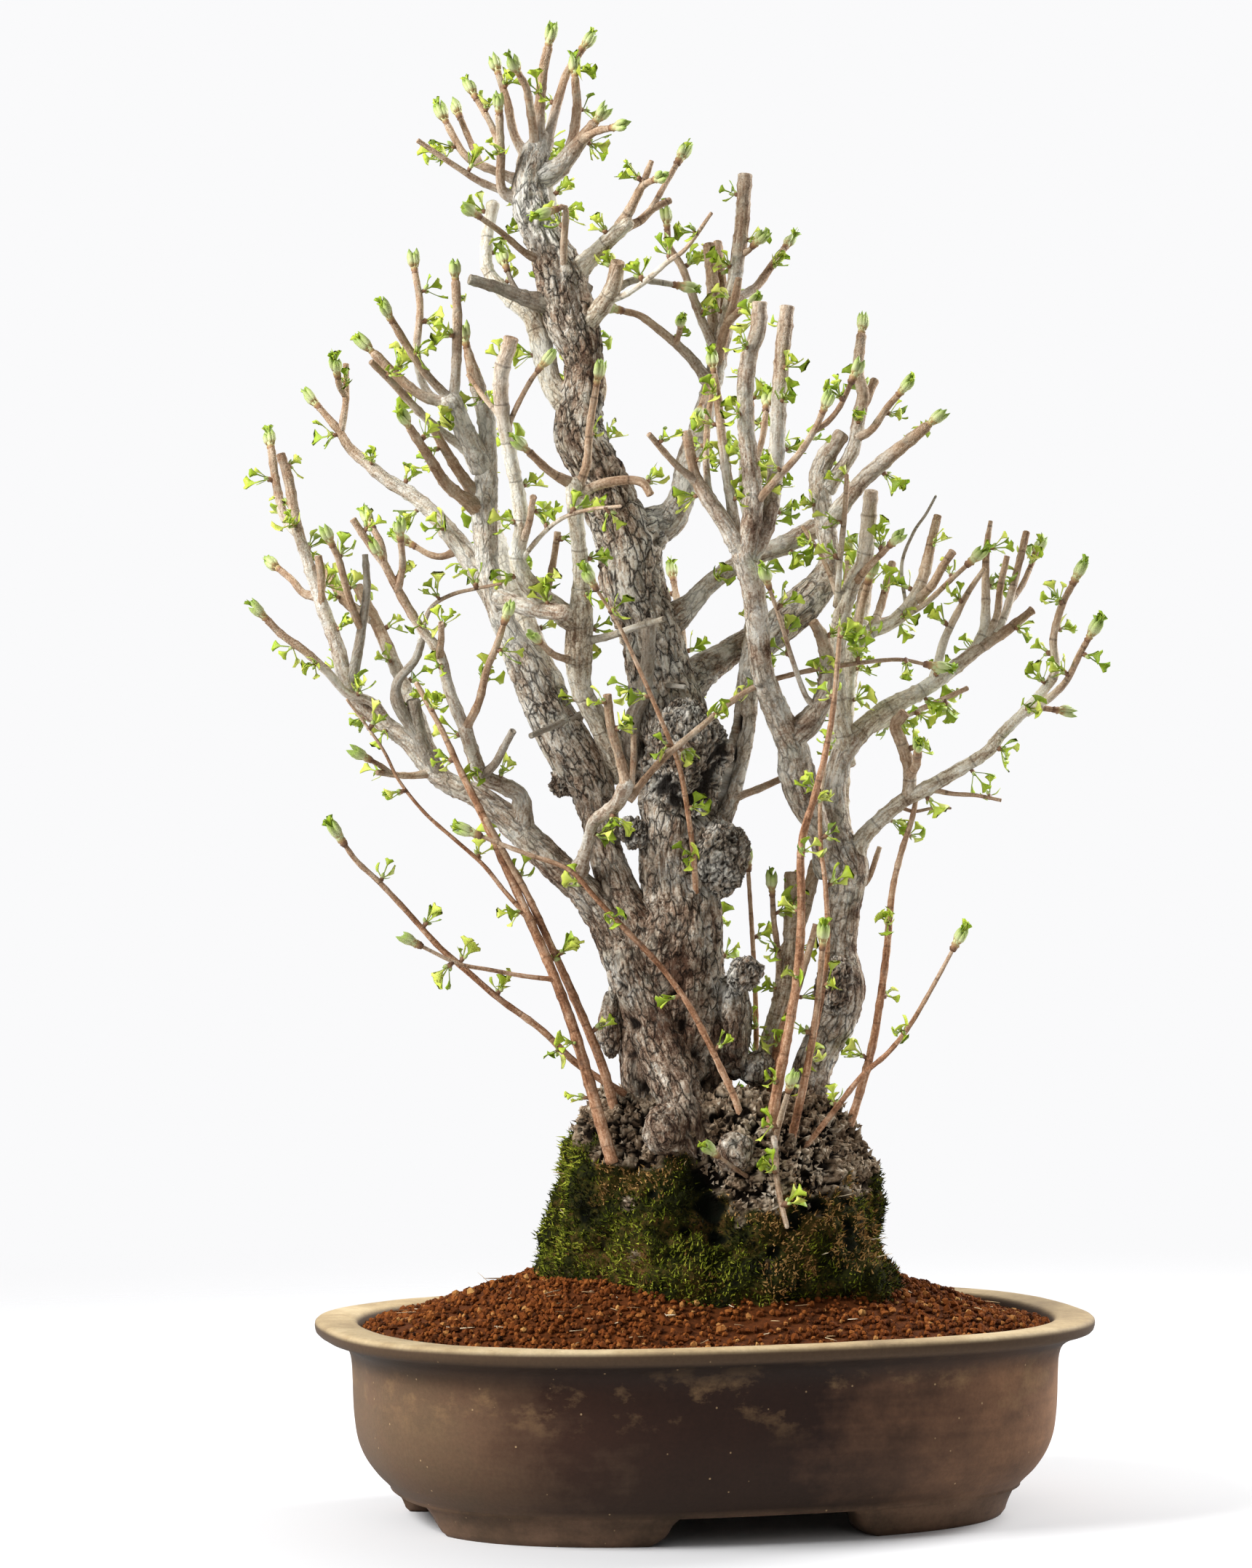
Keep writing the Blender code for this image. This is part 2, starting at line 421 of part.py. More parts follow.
         [(134, 468), (136, 500), (140, 530), (150, 543), (165, 550), (176, 561), (184, 577), (189, 598),
          (193, 615)]),
        ("mid_stub", "mid_limb", (None, 25), (2.8, 2.4), CUT,
         [(180, 564), (189, 572), (196, 584), (202, 593)]),
        ("mid_long", "mid_limb", (None, 20), (2.2, 1.6), BUD,
         [(170, 552), (186, 562), (201, 576), (212, 586)]),
        ("mid_dead", "mid_limb", (None, 70), (1.4, 0.9), THIN,
         [(174, 558), (171, 585), (178, 605), (186, 617), (192, 628)]),
        ("post_back", "mid_limb", (None, 65), (2.8, 2.3), CUT,
         [(152, 545), (158, 560), (165, 586)]),
        ("flame_shoot", "mid_limb", (None, 25), (2.8, 2.2), BUD,
         [(143, 536), (145, 555), (150, 574)]),
    ],
    "post_right": [
        ("post_right", "stem_right", (None, -25), (7, 6, 5.5, 5, 4.8, 4.5), CUT,
         [(136, 470), (130, 510), (132, 545), (140, 573), (148, 590), (152, 629)]),
        ("post_shoot", "post_right", (None, -45), (2.4, 1.8), BUD,
         [(141, 574), (154, 588), (164, 598)]),
        ("post_thin", "post_right", (None, -60), (2, 1.3), THIN,
         [(131, 560), (133, 590), (136, 620), (137, 641)]),
        ("post_pale", "post_right", (None, 5), (1.8, 1.3), CUT,
         [(131, 568), (122, 590), (110, 609)]),
    ],
    "rear_middle": [
        ("rear_middle", "trunk", (None, 115), (12, 11, 10, 9, 7, 5.5, 4), CUT,
         [(26, 330), (24, 370), (22, 410), (26, 450), (30, 490), (28, 530), (22, 560)]),
        ("rear_middle_right", "rear_middle", (None, 155), (3, 2), BUD,
         [(27, 470), (34, 500), (36, 535), (30, 575)]),
        ("rear_middle_left", "rear_middle", (None, 130), (3, 2), BUD,
         [(24, 430), (12, 470), (6, 510), (8, 545)]),
    ],
    "rear_left": [
        ("rear_left", "limb_left", (None, 105), (8, 4), CUT,
         [(-46, 505), (-54, 530), (-64, 556), (-74, 585), (-82, 612), (-86, 640)]),
        ("rear_left_low", "rear_left", (None, 145), (3, 2), BUD,
         [(-64, 556), (-76, 575), (-84, 600), (-88, 625)]),
        ("rear_left_high", "rear_left", (None, 110), (3, 2), BUD,
         [(-80, 604), (-84, 630), (-86, 665), (-90, 690)]),
    ],
    "rear_upper": [
        ("rear_upper", "trunk", (None, 85), (8, 3.6), CUT,
         [(4, 600), (-2, 625), (-14, 650), (-22, 680), (-26, 705), (-28, 725)]),
        ("rear_upper_left", "rear_upper", (None, 115), (2.8, 2), BUD,
         [(-10, 642), (-24, 660), (-30, 690), (-30, 715)]),
        ("rear_upper_right", "rear_upper", (None, 100), (2.8, 2), BUD,
         [(-21, 675), (-14, 695), (-20, 720), (-30, 748)]),
    ],
    "rear_right": [
        ("rear_right", "right_column", (None, 115), (7, 3.6), CUT,
         [(76, 510), (80, 545), (80, 580), (78, 615), (76, 650), (76, 690)]),
        ("rear_right_out", "rear_right", (None, 150), (3, 2), BUD,
         [(80, 562), (86, 600), (92, 640), (95, 680)]),
        ("rear_right_in", "rear_right", (None, 90), (3, 2), BUD,
         [(79, 600), (73, 630), (74, 670), (76, 705)]),
    ],
    "rear_stem": [
        ("rear_stem", "stem_right", (None, 115), (7, 6, 5.6, 5.4, 5, 4.4, 3), BUD,
         [(135, 365), (135, 400), (133, 440), (135, 480), (139, 520), (147, 560), (151, 600)]),
        ("rear_stem_in", "rear_stem", (None, 145), (3, 2), BUD,
         [(139, 462), (134, 500), (134, 540), (138, 590)]),
        ("rear_stem_out", "rear_stem", (None, 150), (3, 2), BUD,
         [(142, 530), (152, 547), (166, 553), (178, 562)]),
    ],
    "rear_crown": [
        ("rear_crown", "trunk", (None, 80), (5, 3), CUT,
         [(-36, 748), (-44, 765), (-52, 785), (-57, 805), (-58, 830), (-54, 850)]),
        ("rear_crown_twig", "rear_crown", (None, 105), (2.6, 2), BUD,
         [(-51, 782), (-43, 800), (-48, 825), (-52, 855)]),
    ],
    "rear_shoot": [
        ("rear_shoot", None, (58, 82), (3.8, 1.9), BUD,
         [(60, 215), (63, 255), (62, 300), (57, 350), (52, 395)]),
    ],
    "shoot_1": [
        ("shoot_1", None, (-62, -50), (4.4, 1.8), THIN,
         [(-8, 215), (-18, 250), (-28, 285), (-38, 315), (-50, 345), (-62, 372), (-76, 403), (-90, 434),
          (-101, 456), (-113, 482), (-129, 512)]),
        ("shoot_3_side", "shoot_1", (None, -90), (1.9, 1.4), BUD,
         [(-43, 329), (-62, 331), (-84, 335), (-104, 339), (-127, 350)]),
        ("shoot_4", "shoot_1", (None, -85), (1.9, 1.1), THIN,
         [(-61, 368), (-75, 384), (-88, 400), (-106, 416), (-124, 432), (-140, 452), (-151, 473), (-172,
          502)]),
    ],
    "shoot_2": [
        ("shoot_2", None, (-35, -61), (3.6, 2), THIN,
         [(-6, 245), (-13, 272), (-24, 300), (-38, 332), (-48, 354), (-60, 380), (-72, 402), (-86,
          428)]),
    ],
    "shoot_3": [
        ("shoot_3", None, (-30, -82), (2.6, 1.7), BUD,
         [(0, 258), (-30, 277), (-52, 298), (-78, 317), (-100, 336), (-116, 350), (-135, 371), (-152,
          389), (-166, 402), (-174, 413)]),
    ],
    "shoot_5": [
        ("shoot_5", None, (-52, -77), (2.6, 1.5), BUD,
         [(76, 225), (69, 252), (60, 272), (50, 293), (38, 315), (21, 338), (0, 360), (-18, 379), (-35,
          397), (-62, 407), (-90, 418)]),
    ],
    "shoot_6": [
        ("shoot_6", "trunk", (None, -80), (2.6, 1.3), BUD,
         [(40, 318), (44, 350), (43, 395), (39, 430), (33, 462), (22, 490), (10, 518), (-4, 548), (-18,
          571)]),
    ],
    "shoot_7": [
        ("shoot_7", None, (-55, -82), (4.2, 1.6), THIN,
         [(83, 200), (90, 238), (96, 272), (102, 303), (107, 335), (109, 372), (109, 412), (117, 442),
          (124, 470), (129, 500), (133, 546)]),
    ],
    "shoot_8": [
        ("shoot_8", None, (-45, -66), (3, 2), BUD,
         [(98, 212), (107, 248), (114, 282), (119, 315), (122, 348)]),
    ],
    "shoot_9": [
        ("shoot_9", None, (-30, -55), (2.4, 1.4), THIN,
         [(104, 240), (118, 300), (125, 345), (124, 385), (121, 412), (121, 442), (126, 478)]),
    ],
    "shoot_10": [
        ("shoot_10", None, (0, 11), (3.2, 1.8), THIN,
         [(133, 222), (143, 252), (152, 284), (158, 318), (162, 350), (165, 382), (170, 405), (177, 427),
          (180, 441)]),
    ],
    "shoot_11": [
        ("shoot_11", None, (-40, -66), (2.4, 1.5), BUD,
         [(96, 208), (115, 230), (131, 250), (147, 270), (162, 283), (175, 299), (186, 317), (196, 335),
          (203, 348)]),
    ],
    "shoot_12": [
        ("shoot_12", None, (25, 22), (2.2, 1.7), BUD,
         [(80, 240), (81, 290), (80, 330), (78, 365), (76, 397)]),
    ],
    "old_stub": [
        ("old_stub", None, (15, 11), (6, 4.4), CUT,
         [(80, 250), (89, 290), (97, 318), (102, 345), (103, 368), (103, 393)]),
        ("pale_stub_back", "old_stub", (None, 25), (4.6, 4), CUT,
         [(99, 343), (109, 368), (118, 400)]),
        ("shoot_14", "old_stub", (None, 0), (2, 1.6), BUD,
         [(94, 318), (95, 340), (92, 365), (91, 381)]),
    ],
    "shoot_13": [
        ("shoot_13", None, (0, 0), (3, 2.4), CUT,
         [(88, 250), (95, 292), (106, 322), (118, 362)]),
    ],
}


# ---------------------------------------------------------------- the elevation and its routes


def place(across, up, depth):
    """A point of the elevation in the pot's frame; depth spreads it from the drawing's middle."""
    spread = 1.0 + depth / DRAWING_DISTANCE
    right = across * spread - POT_ACROSS
    turned = Matrix.Rotation(-POT_TURN, 2) @ Vector((right, depth))
    height = DRAWING_HEIGHT + (up - DRAWING_HEIGHT) * spread
    return Vector((turned.x - BOX_MIDDLE[0], turned.y - BOX_MIDDLE[1], height))


def spread_evenly(values, count):
    """Two end values become an even run; a full list stays as it is."""
    if len(values) == count:
        return list(values)
    first, last = values
    return [first + (last - first) * i / (count - 1) for i in range(count)]


def nearest_depth(route, across, up):
    """Depth of a drawn route where it passes closest to a point of the elevation."""
    best = (float("inf"), 0.0)
    for (a, b) in zip(route, route[1:]):
        run = Vector((b[0] - a[0], b[1] - a[1]))
        off = Vector((across - a[0], up - a[1]))
        share = min(max(off.dot(run) / max(run.length_squared, 1e-9), 0.0), 1.0)
        gap = (off - run * share).length
        best = min(best, (gap, a[2] + (b[2] - a[2]) * share))
    return best[1]


def drawn_routes():
    """Every branch's route as (across, up, depth, radius), keyed by its name."""
    routes = {"trunk": TRUNK}
    waiting = [branch for block in WOOD.values() for branch in block]
    while waiting:
        branch = next(b for b in waiting if b[1] is None or b[1] in routes)
        waiting.remove(branch)
        name, parent, (first, last), radii, _, points = branch
        if first is None:
            first = nearest_depth(routes[parent], *points[0])
        lengths = [0.0]
        for a, b in zip(points, points[1:]):
            lengths.append(lengths[-1] + math.dist(a, b))
        routes[name] = [
            (p[0], p[1], first + (last - first) * run / lengths[-1], radius)
            for p, run, radius in zip(points, lengths, spread_evenly(radii, len(points)))
        ]
    return routes


def placed(route):
    return [place(*point[:3]) for point in route], [point[3] for point in route]


def without_slack(points, radii, slack):
    """Drops the points that a straight run between their neighbours passes within the slack."""
    first, last = points[0], points[-1]
    run = last - first
    worst, at = slack, None
    for i in range(1, len(points) - 1):
        share = min(max((points[i] - first).dot(run) / run.length_squared, 0.0), 1.0)
        gap = (points[i] - first - run * share).length
        gap = max(gap, abs(radii[i] - radii[0] - (radii[-1] - radii[0]) * share) * 1.5)
        if gap > worst:
            worst, at = gap, i
    if at is None:
        return [first, last], [radii[0], radii[-1]]
    low = without_slack(points[:at + 1], radii[:at + 1], slack)
    high = without_slack(points[at:], radii[at:], slack)
    return low[0][:-1] + high[0], low[1][:-1] + high[1]


# ---------------------------------------------------------------- closed meshes


def side_count(radius):
    for limit, sides in ((3.6, 3), (7.0, 4), (11.0, 5), (15.0, 6)):
        if radius < limit:
            return sides
    return 8


def round_factor(sides):
    """How far out a polygon's corners lie for it to hold a circle's area."""
    return math.sqrt(2.0 * math.pi / (sides * math.sin(2.0 * math.pi / sides)))


def frames_along(points):
    """Tangent and a steady normal at each point of a route."""
    tangents = []
    for i in range(len(points)):
        ahead = points[min(i + 1, len(points) - 1)] - points[max(i - 1, 0)]
        tangents.append(ahead.normalized())
    normal = tangents[0].orthogonal().normalized()
    frames = []
    for tangent in tangents:
        normal = (normal - tangent * normal.dot(tangent)).normalized()
        frames.append((tangent, normal, tangent.cross(normal)))
    return frames


def loft(rings):
    """A closed mesh through rings of the same number of points, with flat ends."""
    size = len(rings[0])
    corners = [corner for ring in rings for corner in ring]
    faces = [tuple(reversed(range(size)))]
    for row in range(len(rings) - 1):
        low = row * size
        for i in range(size):
            j = (i + 1) % size
            faces.append((low + i, low + j, low + size + j, low + size + i))
    faces.append(tuple(range(len(corners) - size, len(corners))))
    return corners, faces


def tube(points, radii, sides, grow=0.0):
    """A round limb through the points; grow widens and lengthens it for a cutter."""
    points = [p.copy() for p in points]
    frames = frames_along(points)
    points[0] -= frames[0][0] * grow
    points[-1] += frames[-1][0] * grow
    factor = round_factor(sides)
    rings = []
    for point, radius, (_, normal, side) in zip(points, radii, frames):
        reach = radius * factor + grow
        ring = []
        for i in range(sides):
            turn = 2.0 * math.pi * i / sides
            ring.append(point + (normal * math.cos(turn) + side * math.sin(turn)) * reach)
        rings.append(ring)
    return loft(rings)


def with_tip(points, radii, tip):
    """Adds the bud, or the fine end, that a route's last point carries."""
    points, radii = list(points), list(radii)
    along = (points[-1] - points[-2]).normalized()
    if tip == BUD:
        size = min(max(radii[-1] * 1.7, 2.6), BUD_RADIUS)
        length = BUD_LENGTH * size / BUD_RADIUS
        end = points[-1]
        points += [end + along * length * 0.4, end + along * length]
        radii += [size, 0.8]
    return points, radii


def lump(middle, halves, grow=0.0):
    """A rough ball with its own half sizes across, up and deep."""
    across, up, deep = (half + grow for half in halves)
    rings = []
    for level in (-0.92, 0.0, 0.92):
        width = math.sqrt(1.0 - level * level)
        ring = []
        for i in range(6):
            turn = 2.0 * math.pi * i / 6
            swell = 1.0 + 0.08 * math.sin(3.0 * turn + 4.0 * level)
            ring.append(place(
                middle[0] + across * width * swell * math.cos(turn),
                middle[1] + up * level,
                middle[2] + deep * width * swell * math.sin(turn),
            ))
        rings.append(ring)
    return loft(rings)


def root_mound(grow=0.0):
    """The swollen root base, with its lobes and flutes."""
    rings = []
    levels = [list(level) for level in ROOT_BASE]
    levels[0][0] -= grow
    levels[-1][0] += grow
    for up, left, right, deep in levels:
        middle = (left + right) / 2.0
        half = (right - left) / 2.0
        ring = []
        for i in range(ROOT_SEGMENTS):
            turn = 2.0 * math.pi * i / ROOT_SEGMENTS
            lobes = 1.0 + 0.045 * math.sin(5.0 * turn + up / 30.0) + 0.03 * math.sin(9.0 * turn)
            across = middle + (half + grow) * lobes * math.cos(turn)
            ring.append(place(across, up, (deep + grow) * lobes * math.sin(turn)))
        rings.append(ring)
    return loft(rings)


def leaf_blade(root, along, across):
    """A young fan leaf, thickest along its middle: a foot, two wide lobes and their notch."""
    face = along.cross(across).normalized() * (LEAF_THICKNESS / 2.0)
    corner = along * LEAF_LENGTH + across * (LEAF_WIDTH / 2.0)
    middle = root + along * LEAF_LENGTH * 0.6
    outline = [
        root,
        root + corner,
        root + along * LEAF_LENGTH * 0.84,
        root + corner - across * LEAF_WIDTH,
    ]
    corners = outline + [middle + face, middle - face]
    faces = []
    for i in range(4):
        j = (i + 1) % 4
        faces += [(i, j, 4), (j, i, 5)]
    return corners, faces


# ---------------------------------------------------------------- Blender objects


def material(name, colour, roughness):
    made = bpy.data.materials.new(name)
    made.use_nodes = True
    shader = made.node_tree.nodes["Principled BSDF"]
    shader.inputs["Base Color"].default_value = (*colour, 1.0)
    shader.inputs["Roughness"].default_value = roughness
    shader.inputs["Metallic"].default_value = 0.0
    made.diffuse_color = (*colour, 1.0)
    return made


def add_object(name, shape, collection=None):
    corners, faces = shape
    mesh = bpy.data.meshes.new(name)
    mesh.from_pydata([corner * MM for corner in corners], [], faces)
    form = bmesh.new()
    form.from_mesh(mesh)
    bmesh.ops.recalc_face_normals(form, faces=form.faces)
    bmesh.ops.triangulate(form, faces=form.faces)
    form.to_mesh(mesh)
    form.free()
    made = bpy.data.objects.new(name, mesh)
    (collection or bpy.context.scene.collection).objects.link(made)
    return made


def combine(made, shapes, operation):
    """Applies one Boolean of a whole collection of closed shapes, then removes the collection."""
    if not shapes:
        return
    group = bpy.data.collections.new("pieces")
    bpy.context.scene.collection.children.link(group)
    for i, shape in enumerate(shapes):
        add_object(f"piece_{i}", shape, group)
    step = made.modifiers.new("Combine", "BOOLEAN")
    step.operation = operation
    step.operand_type = "COLLECTION"
    step.collection = group
    step.solver = "MANIFOLD"
    graph = bpy.context.evaluated_depsgraph_get()
    result = bpy.data.meshes.new_from_object(made.evaluated_get(graph))
    made.modifiers.clear()
    made.data = result
    for piece in list(group.objects):
        bpy.data.objects.remove(piece)
    bpy.data.collections.remove(group)


def keep_largest_body(made):
    """Drops loose scraps, so that the node is one closed body."""
    form = bmesh.new()
    form.from_mesh(made.data)
    unseen = set(form.faces)
    bodies = []
    while unseen:
        front = [unseen.pop()]
        body = list(front)
        while front:
            for edge in front.pop().edges:
                for face in edge.link_faces:
                    if face in unseen:
                        unseen.remove(face)
                        body.append(face)
                        front.append(face)
        bodies.append(body)
    bodies.sort(key=len)
    scraps = [face for body in bodies[:-1] for face in body]
    bmesh.ops.delete(form, geom=scraps, context="FACES")
    bmesh.ops.triangulate(form, faces=form.faces)
    form.to_mesh(made.data)
    form.free()


def join_flat_faces(made, angle):
    """Joins splinters that lie in nearly one plane, where the body stays closed without them."""
    form = bmesh.new()
    form.from_mesh(made.data)
    bmesh.ops.dissolve_limit(form, angle_limit=angle, verts=form.verts, edges=form.edges)
    bmesh.ops.triangulate(form, faces=form.faces)
    if all(len(edge.link_faces) == 2 for edge in form.edges):
        form.to_mesh(made.data)
    form.free()


def finish(made, surface, smooth_angle=None):
    made.data.materials.clear()
    made.data.materials.append(surface)
    if smooth_angle is not None:
        made.data.shade_smooth()
        made.data.set_sharp_from_angle(angle=math.radians(smooth_angle))


# ---------------------------------------------------------------- pot, screens and soil


def oval(length, width, height, segments=OVAL_SEGMENTS):
    """A ring of a full oval, from its length and width."""
    ring = []
    for i in range(segments):
        turn = 2.0 * math.pi * (i + 0.5) / segments
        wide = math.copysign(abs(math.cos(turn)) ** (2.0 / OVAL_POWER), math.cos(turn))
        deep = math.copysign(abs(math.sin(turn)) ** (2.0 / OVAL_POWER), math.sin(turn))
        ring.append(Vector((length / 2.0 * wide, width / 2.0 * deep, height)) - POT_SHIFT)
    return ring


def pot_width(length):
    """The pot's width at a height where it has this length: the oval grows rounder downwards."""
    return length - (LIP_LENGTH - LIP_WIDTH) + LOWER_ROUNDING * (LIP_LENGTH - length)


POT_SHIFT = Vector((BOX_MIDDLE[0], BOX_MIDDLE[1], 0.0))

# (length, height) down the outside of the wall, from the lip's inner edge
POT_OUTSIDE = [
    (430, POT_HEIGHT - 1), (478, POT_HEIGHT), (LIP_LENGTH, 113), (444, 100), (435, 88), (431, 58),
    (419, 38), (390, FOOT_HEIGHT),
]

# (length, height) up the inside of the wall, from its floor
POT_INSIDE = [(362, FLOOR_TOP), (404, 50), (420, 90), (426, 112)]


def build_pot(surface):
    rings = [oval(length, pot_width(length), height) for length, height in POT_INSIDE]
    rings += [oval(length, pot_width(length), height) for length, height in POT_OUTSIDE]
    pot = add_object("pot", loft(rings))
    combine(pot, [corner_foot(quarter) for quarter in range(4)], "UNION")
    drains = []
    for side in (-1, 1):
        centre = Vector((side * DRAIN_ACROSS, 0.0, 0.0)) - POT_SHIFT
        points = [centre + Vector((0, 0, height)) for height in (0.5 * FOOT_HEIGHT, 1.2 * FLOOR_TOP)]
        drains.append(tube(points, [DRAIN_DIAMETER / 2.0] * 2, DRAIN_SEGMENTS))
    combine(pot, drains, "DIFFERENCE")
    join_flat_faces(pot, TRUNK_FLAT)
    finish(pot, surface, 40)


def corner_foot(quarter):
    """One of the four feet: a run of the foot ring between two slant-ended arches."""
    mirror_x = 1 if quarter in (0, 3) else -1
    mirror_y = 1 if quarter in (0, 1) else -1
    rings = []
    for step in range(FOOT_STEPS + 1):
        section = []
        for height, length in ((0.0, FOOT_LENGTH), (FOOT_HEIGHT + FOOT_OVERLAP, FOOT_TOP_LENGTH)):
            low = 1.0 - height / FOOT_HEIGHT
            outer_half = length / 2.0
            outer_deep = pot_width(length) / 2.0
            short = (ARCH_HALF_SHORT + ARCH_SLANT_SHORT * low) / outer_deep
            long = (ARCH_HALF_LONG + ARCH_SLANT_LONG * low) / outer_half
            start = math.asin(short ** (OVAL_POWER / 2.0))
            end = math.acos(long ** (OVAL_POWER / 2.0))
            turn = start + (end - start) * step / FOOT_STEPS
            for inset in (0.0, FOOT_THICKNESS):
                section.append(Vector((
                    (outer_half - inset) * math.cos(turn) ** (2.0 / OVAL_POWER) * mirror_x,
                    (outer_deep - inset) * math.sin(turn) ** (2.0 / OVAL_POWER) * mirror_y,
                    height,
                )) - POT_SHIFT)
        rings.append([section[0], section[1], section[3], section[2]])
    return loft(rings)


def screen_place(side):
    return Vector((side * DRAIN_ACROSS, 0.0, FLOOR_TOP + CLEARANCE)) - POT_SHIFT


def block(corner, size):
    """A box from its lowest corner."""
    low, high = corner, corner + size
    rings = []
    for height in (low.z, high.z):
        rings.append([
            Vector((low.x, low.y, height)), Vector((high.x, low.y, height)),
            Vector((high.x, high.y, height)), Vector((low.x, high.y, height)),
        ])
    return loft(rings)


def build_screen(side, surface):
    """A drainage mesh over one hole: a thin plate with square openings."""
    half = Vector((SCREEN_SIZE / 2.0, SCREEN_SIZE / 2.0, 0.0))
    corner = screen_place(side) - half
    plate = Vector((SCREEN_SIZE, SCREEN_SIZE, SCREEN_THICKNESS))
    name = "drain_screen_left" if side < 0 else "drain_screen_right"
    screen = add_object(name, block(corner, plate))
    cell = (SCREEN_SIZE - SCREEN_BAR * (SCREEN_CELLS + 1)) / SCREEN_CELLS
    holes = []
    for i in range(SCREEN_CELLS):
        for j in range(SCREEN_CELLS):
            offset = Vector((SCREEN_BAR + i * (cell + SCREEN_BAR),
                             SCREEN_BAR + j * (cell + SCREEN_BAR), -1.0))
            holes.append(block(corner + offset, Vector((cell, cell, SCREEN_THICKNESS + 2.0))))
    combine(screen, holes, "DIFFERENCE")
    finish(screen, surface)


def build_soil(surface, roots):
    """The soil: it fills the pot, domes up to the roots and leaves a plain hole for them."""
    rings = []
    for length, height in POT_INSIDE[:-1]:
        fit = length - 2.0 * CLEARANCE
        rings.append(oval(fit, pot_width(length) - 2.0 * CLEARANCE, height + CLEARANCE))
    edge = POT_INSIDE[-1][0] - 2.0 * CLEARANCE
    rings.append(oval(edge, pot_width(edge), POT_INSIDE[-1][1]))
    rings.append(oval(edge, pot_width(edge), SOIL_EDGE))
    for share, rise in SOIL_RINGS:
        height = SOIL_EDGE + (SOIL_TOP - SOIL_EDGE) * rise
        ring = oval(edge * share, pot_width(edge) * share, height)
        for i, point in enumerate(ring):
            point.z += SOIL_RIPPLE * math.sin(2.1 * i + 9.0 * share)
        rings.append(ring)
    soil = add_object("soil", loft(rings))
    reach = Vector((SCREEN_SIZE / 2.0 + CLEARANCE, SCREEN_SIZE / 2.0 + CLEARANCE, 0.0))
    pockets = []
    for side in (-1, 1):
        below = Vector((0.0, 0.0, 4.0 * SCREEN_THICKNESS))
        above = Vector((0.0, 0.0, SCREEN_THICKNESS + CLEARANCE))
        pockets.append(block(screen_place(side) - reach - below, reach * 2.0 + below + above))
    combine(soil, pockets + roots, "DIFFERENCE")
    keep_largest_body(soil)
    join_flat_faces(soil, TRUNK_FLAT)
    finish(soil, surface)


# ---------------------------------------------------------------- leaves kept clear of neighbours


class Room:
    """The space that the wood and the leaves take, as balls that know their node."""

    def __init__(self):
        self.balls = {}

    @staticmethod
    def cell(point):
        return tuple(int(math.floor(value / ROOM_CELL)) for value in point)

    def add(self, centre, radius, node):
        self.balls.setdefault(self.cell(centre), []).append((centre, radius, node))

    def near(self, centre):
        base = self.cell(centre)
        for dx in (-2, -1, 0, 1, 2):
            for dy in (-2, -1, 0, 1, 2):
                for dz in (-2, -1, 0, 1, 2):
                    yield from self.balls.get((base[0] + dx, base[1] + dy, base[2] + dz), ())

    def fits(self, centre, radius, node, own):
        """Clear of every other node, and of the given share of its own node's balls."""
        for other, reach, owner in self.near(centre):
            limit = radius + reach + 1.0 if owner != node else (radius + reach) * own
            if (other - centre).length < limit:
                return False
        return True


def fill_with_wood(room, routes, node_of, tip_of):
    for name, route in routes.items():
        points, radii = with_tip(*placed(route), tip_of[name])
        for a, b, ra, rb in zip(points, points[1:], radii, radii[1:]):
            steps = max(int((b - a).length / ROOM_STEP), 1)
            for i in range(steps + 1):
                share = i / steps
                reach = (ra + (rb - ra) * share) * ROOM_WOOD
                room.add(a + (b - a) * share, reach, node_of[name])
    for across, up, depth, *halves in BURLS:
        room.add(place(across, up, depth), max(halves), "trunk")
    for up, left, right, deep in ROOT_BASE:
        for share in (-0.33, -0.17, 0.0, 0.17, 0.33):
            across = (left + right) / 2.0 + share * (right - left)
            room.add(place(across, up, 0.0), deep * 0.9, "trunk")


def leaves_along(route, node, room, draw, spacing):
    """Leaf blades up one branch, by turns round it, each where it has room."""
    points, radii = placed(route)
    frames = frames_along(points)
    blades = []
    turn = draw.uniform(0.0, 2.0 * math.pi)
    wait = SPUR_START + draw.uniform(0.0, spacing * 0.5)
    for i in range(len(points) - 1):
        run = (points[i + 1] - points[i]).length
        tangent, normal, side = frames[i + 1]
        while wait < run:
            share = wait / run
            centre = points[i].lerp(points[i + 1], share)
            radius = radii[i] + (radii[i + 1] - radii[i]) * share
            wait += spacing * draw.uniform(0.8, 1.25)
            if radius > THICKEST_LEAFY:
                continue
            for _ in range(LEAF_TRIES):
                turn += GOLDEN_ANGLE
                outward = normal * math.cos(turn) + side * math.sin(turn)
                along = (outward + tangent * draw.uniform(0.2, 0.9)
                         + Vector((0, 0, draw.uniform(0.0, 0.6)))).normalized()
                twist = draw.uniform(-0.9, 0.9)
                flat = along.cross(tangent).normalized()
                across = (flat * math.cos(twist) + flat.cross(along) * math.sin(twist)).normalized()
                root = centre + outward * radius * 0.35
                tip = root + along * LEAF_LENGTH * 0.8
                foot = root + along * LEAF_LENGTH * 0.45
                clear = room.fits(foot, LEAF_FOOT_BALL, node, 0.0)
                if clear and room.fits(tip, LEAF_BALL, node, LEAF_CROWDING):
                    room.add(tip, LEAF_BALL, node)
                    room.add(foot, LEAF_FOOT_BALL, node)
                    blades.append(leaf_blade(root, along, across))
                    break
        wait -= run
    return blades


# ---------------------------------------------------------------- the plant


def branch_shapes(routes, block, grow=0.0):
    shapes = []
    for name, _, _, _, tip, _ in block:
        points, radii = placed(routes[name])
        sides = side_count(max(radii))
        points, radii = without_slack(points, radii, SLACK)
        points, radii = with_tip(points, radii, tip)
        shapes.append(tube(points, radii, sides, grow))
    return shapes


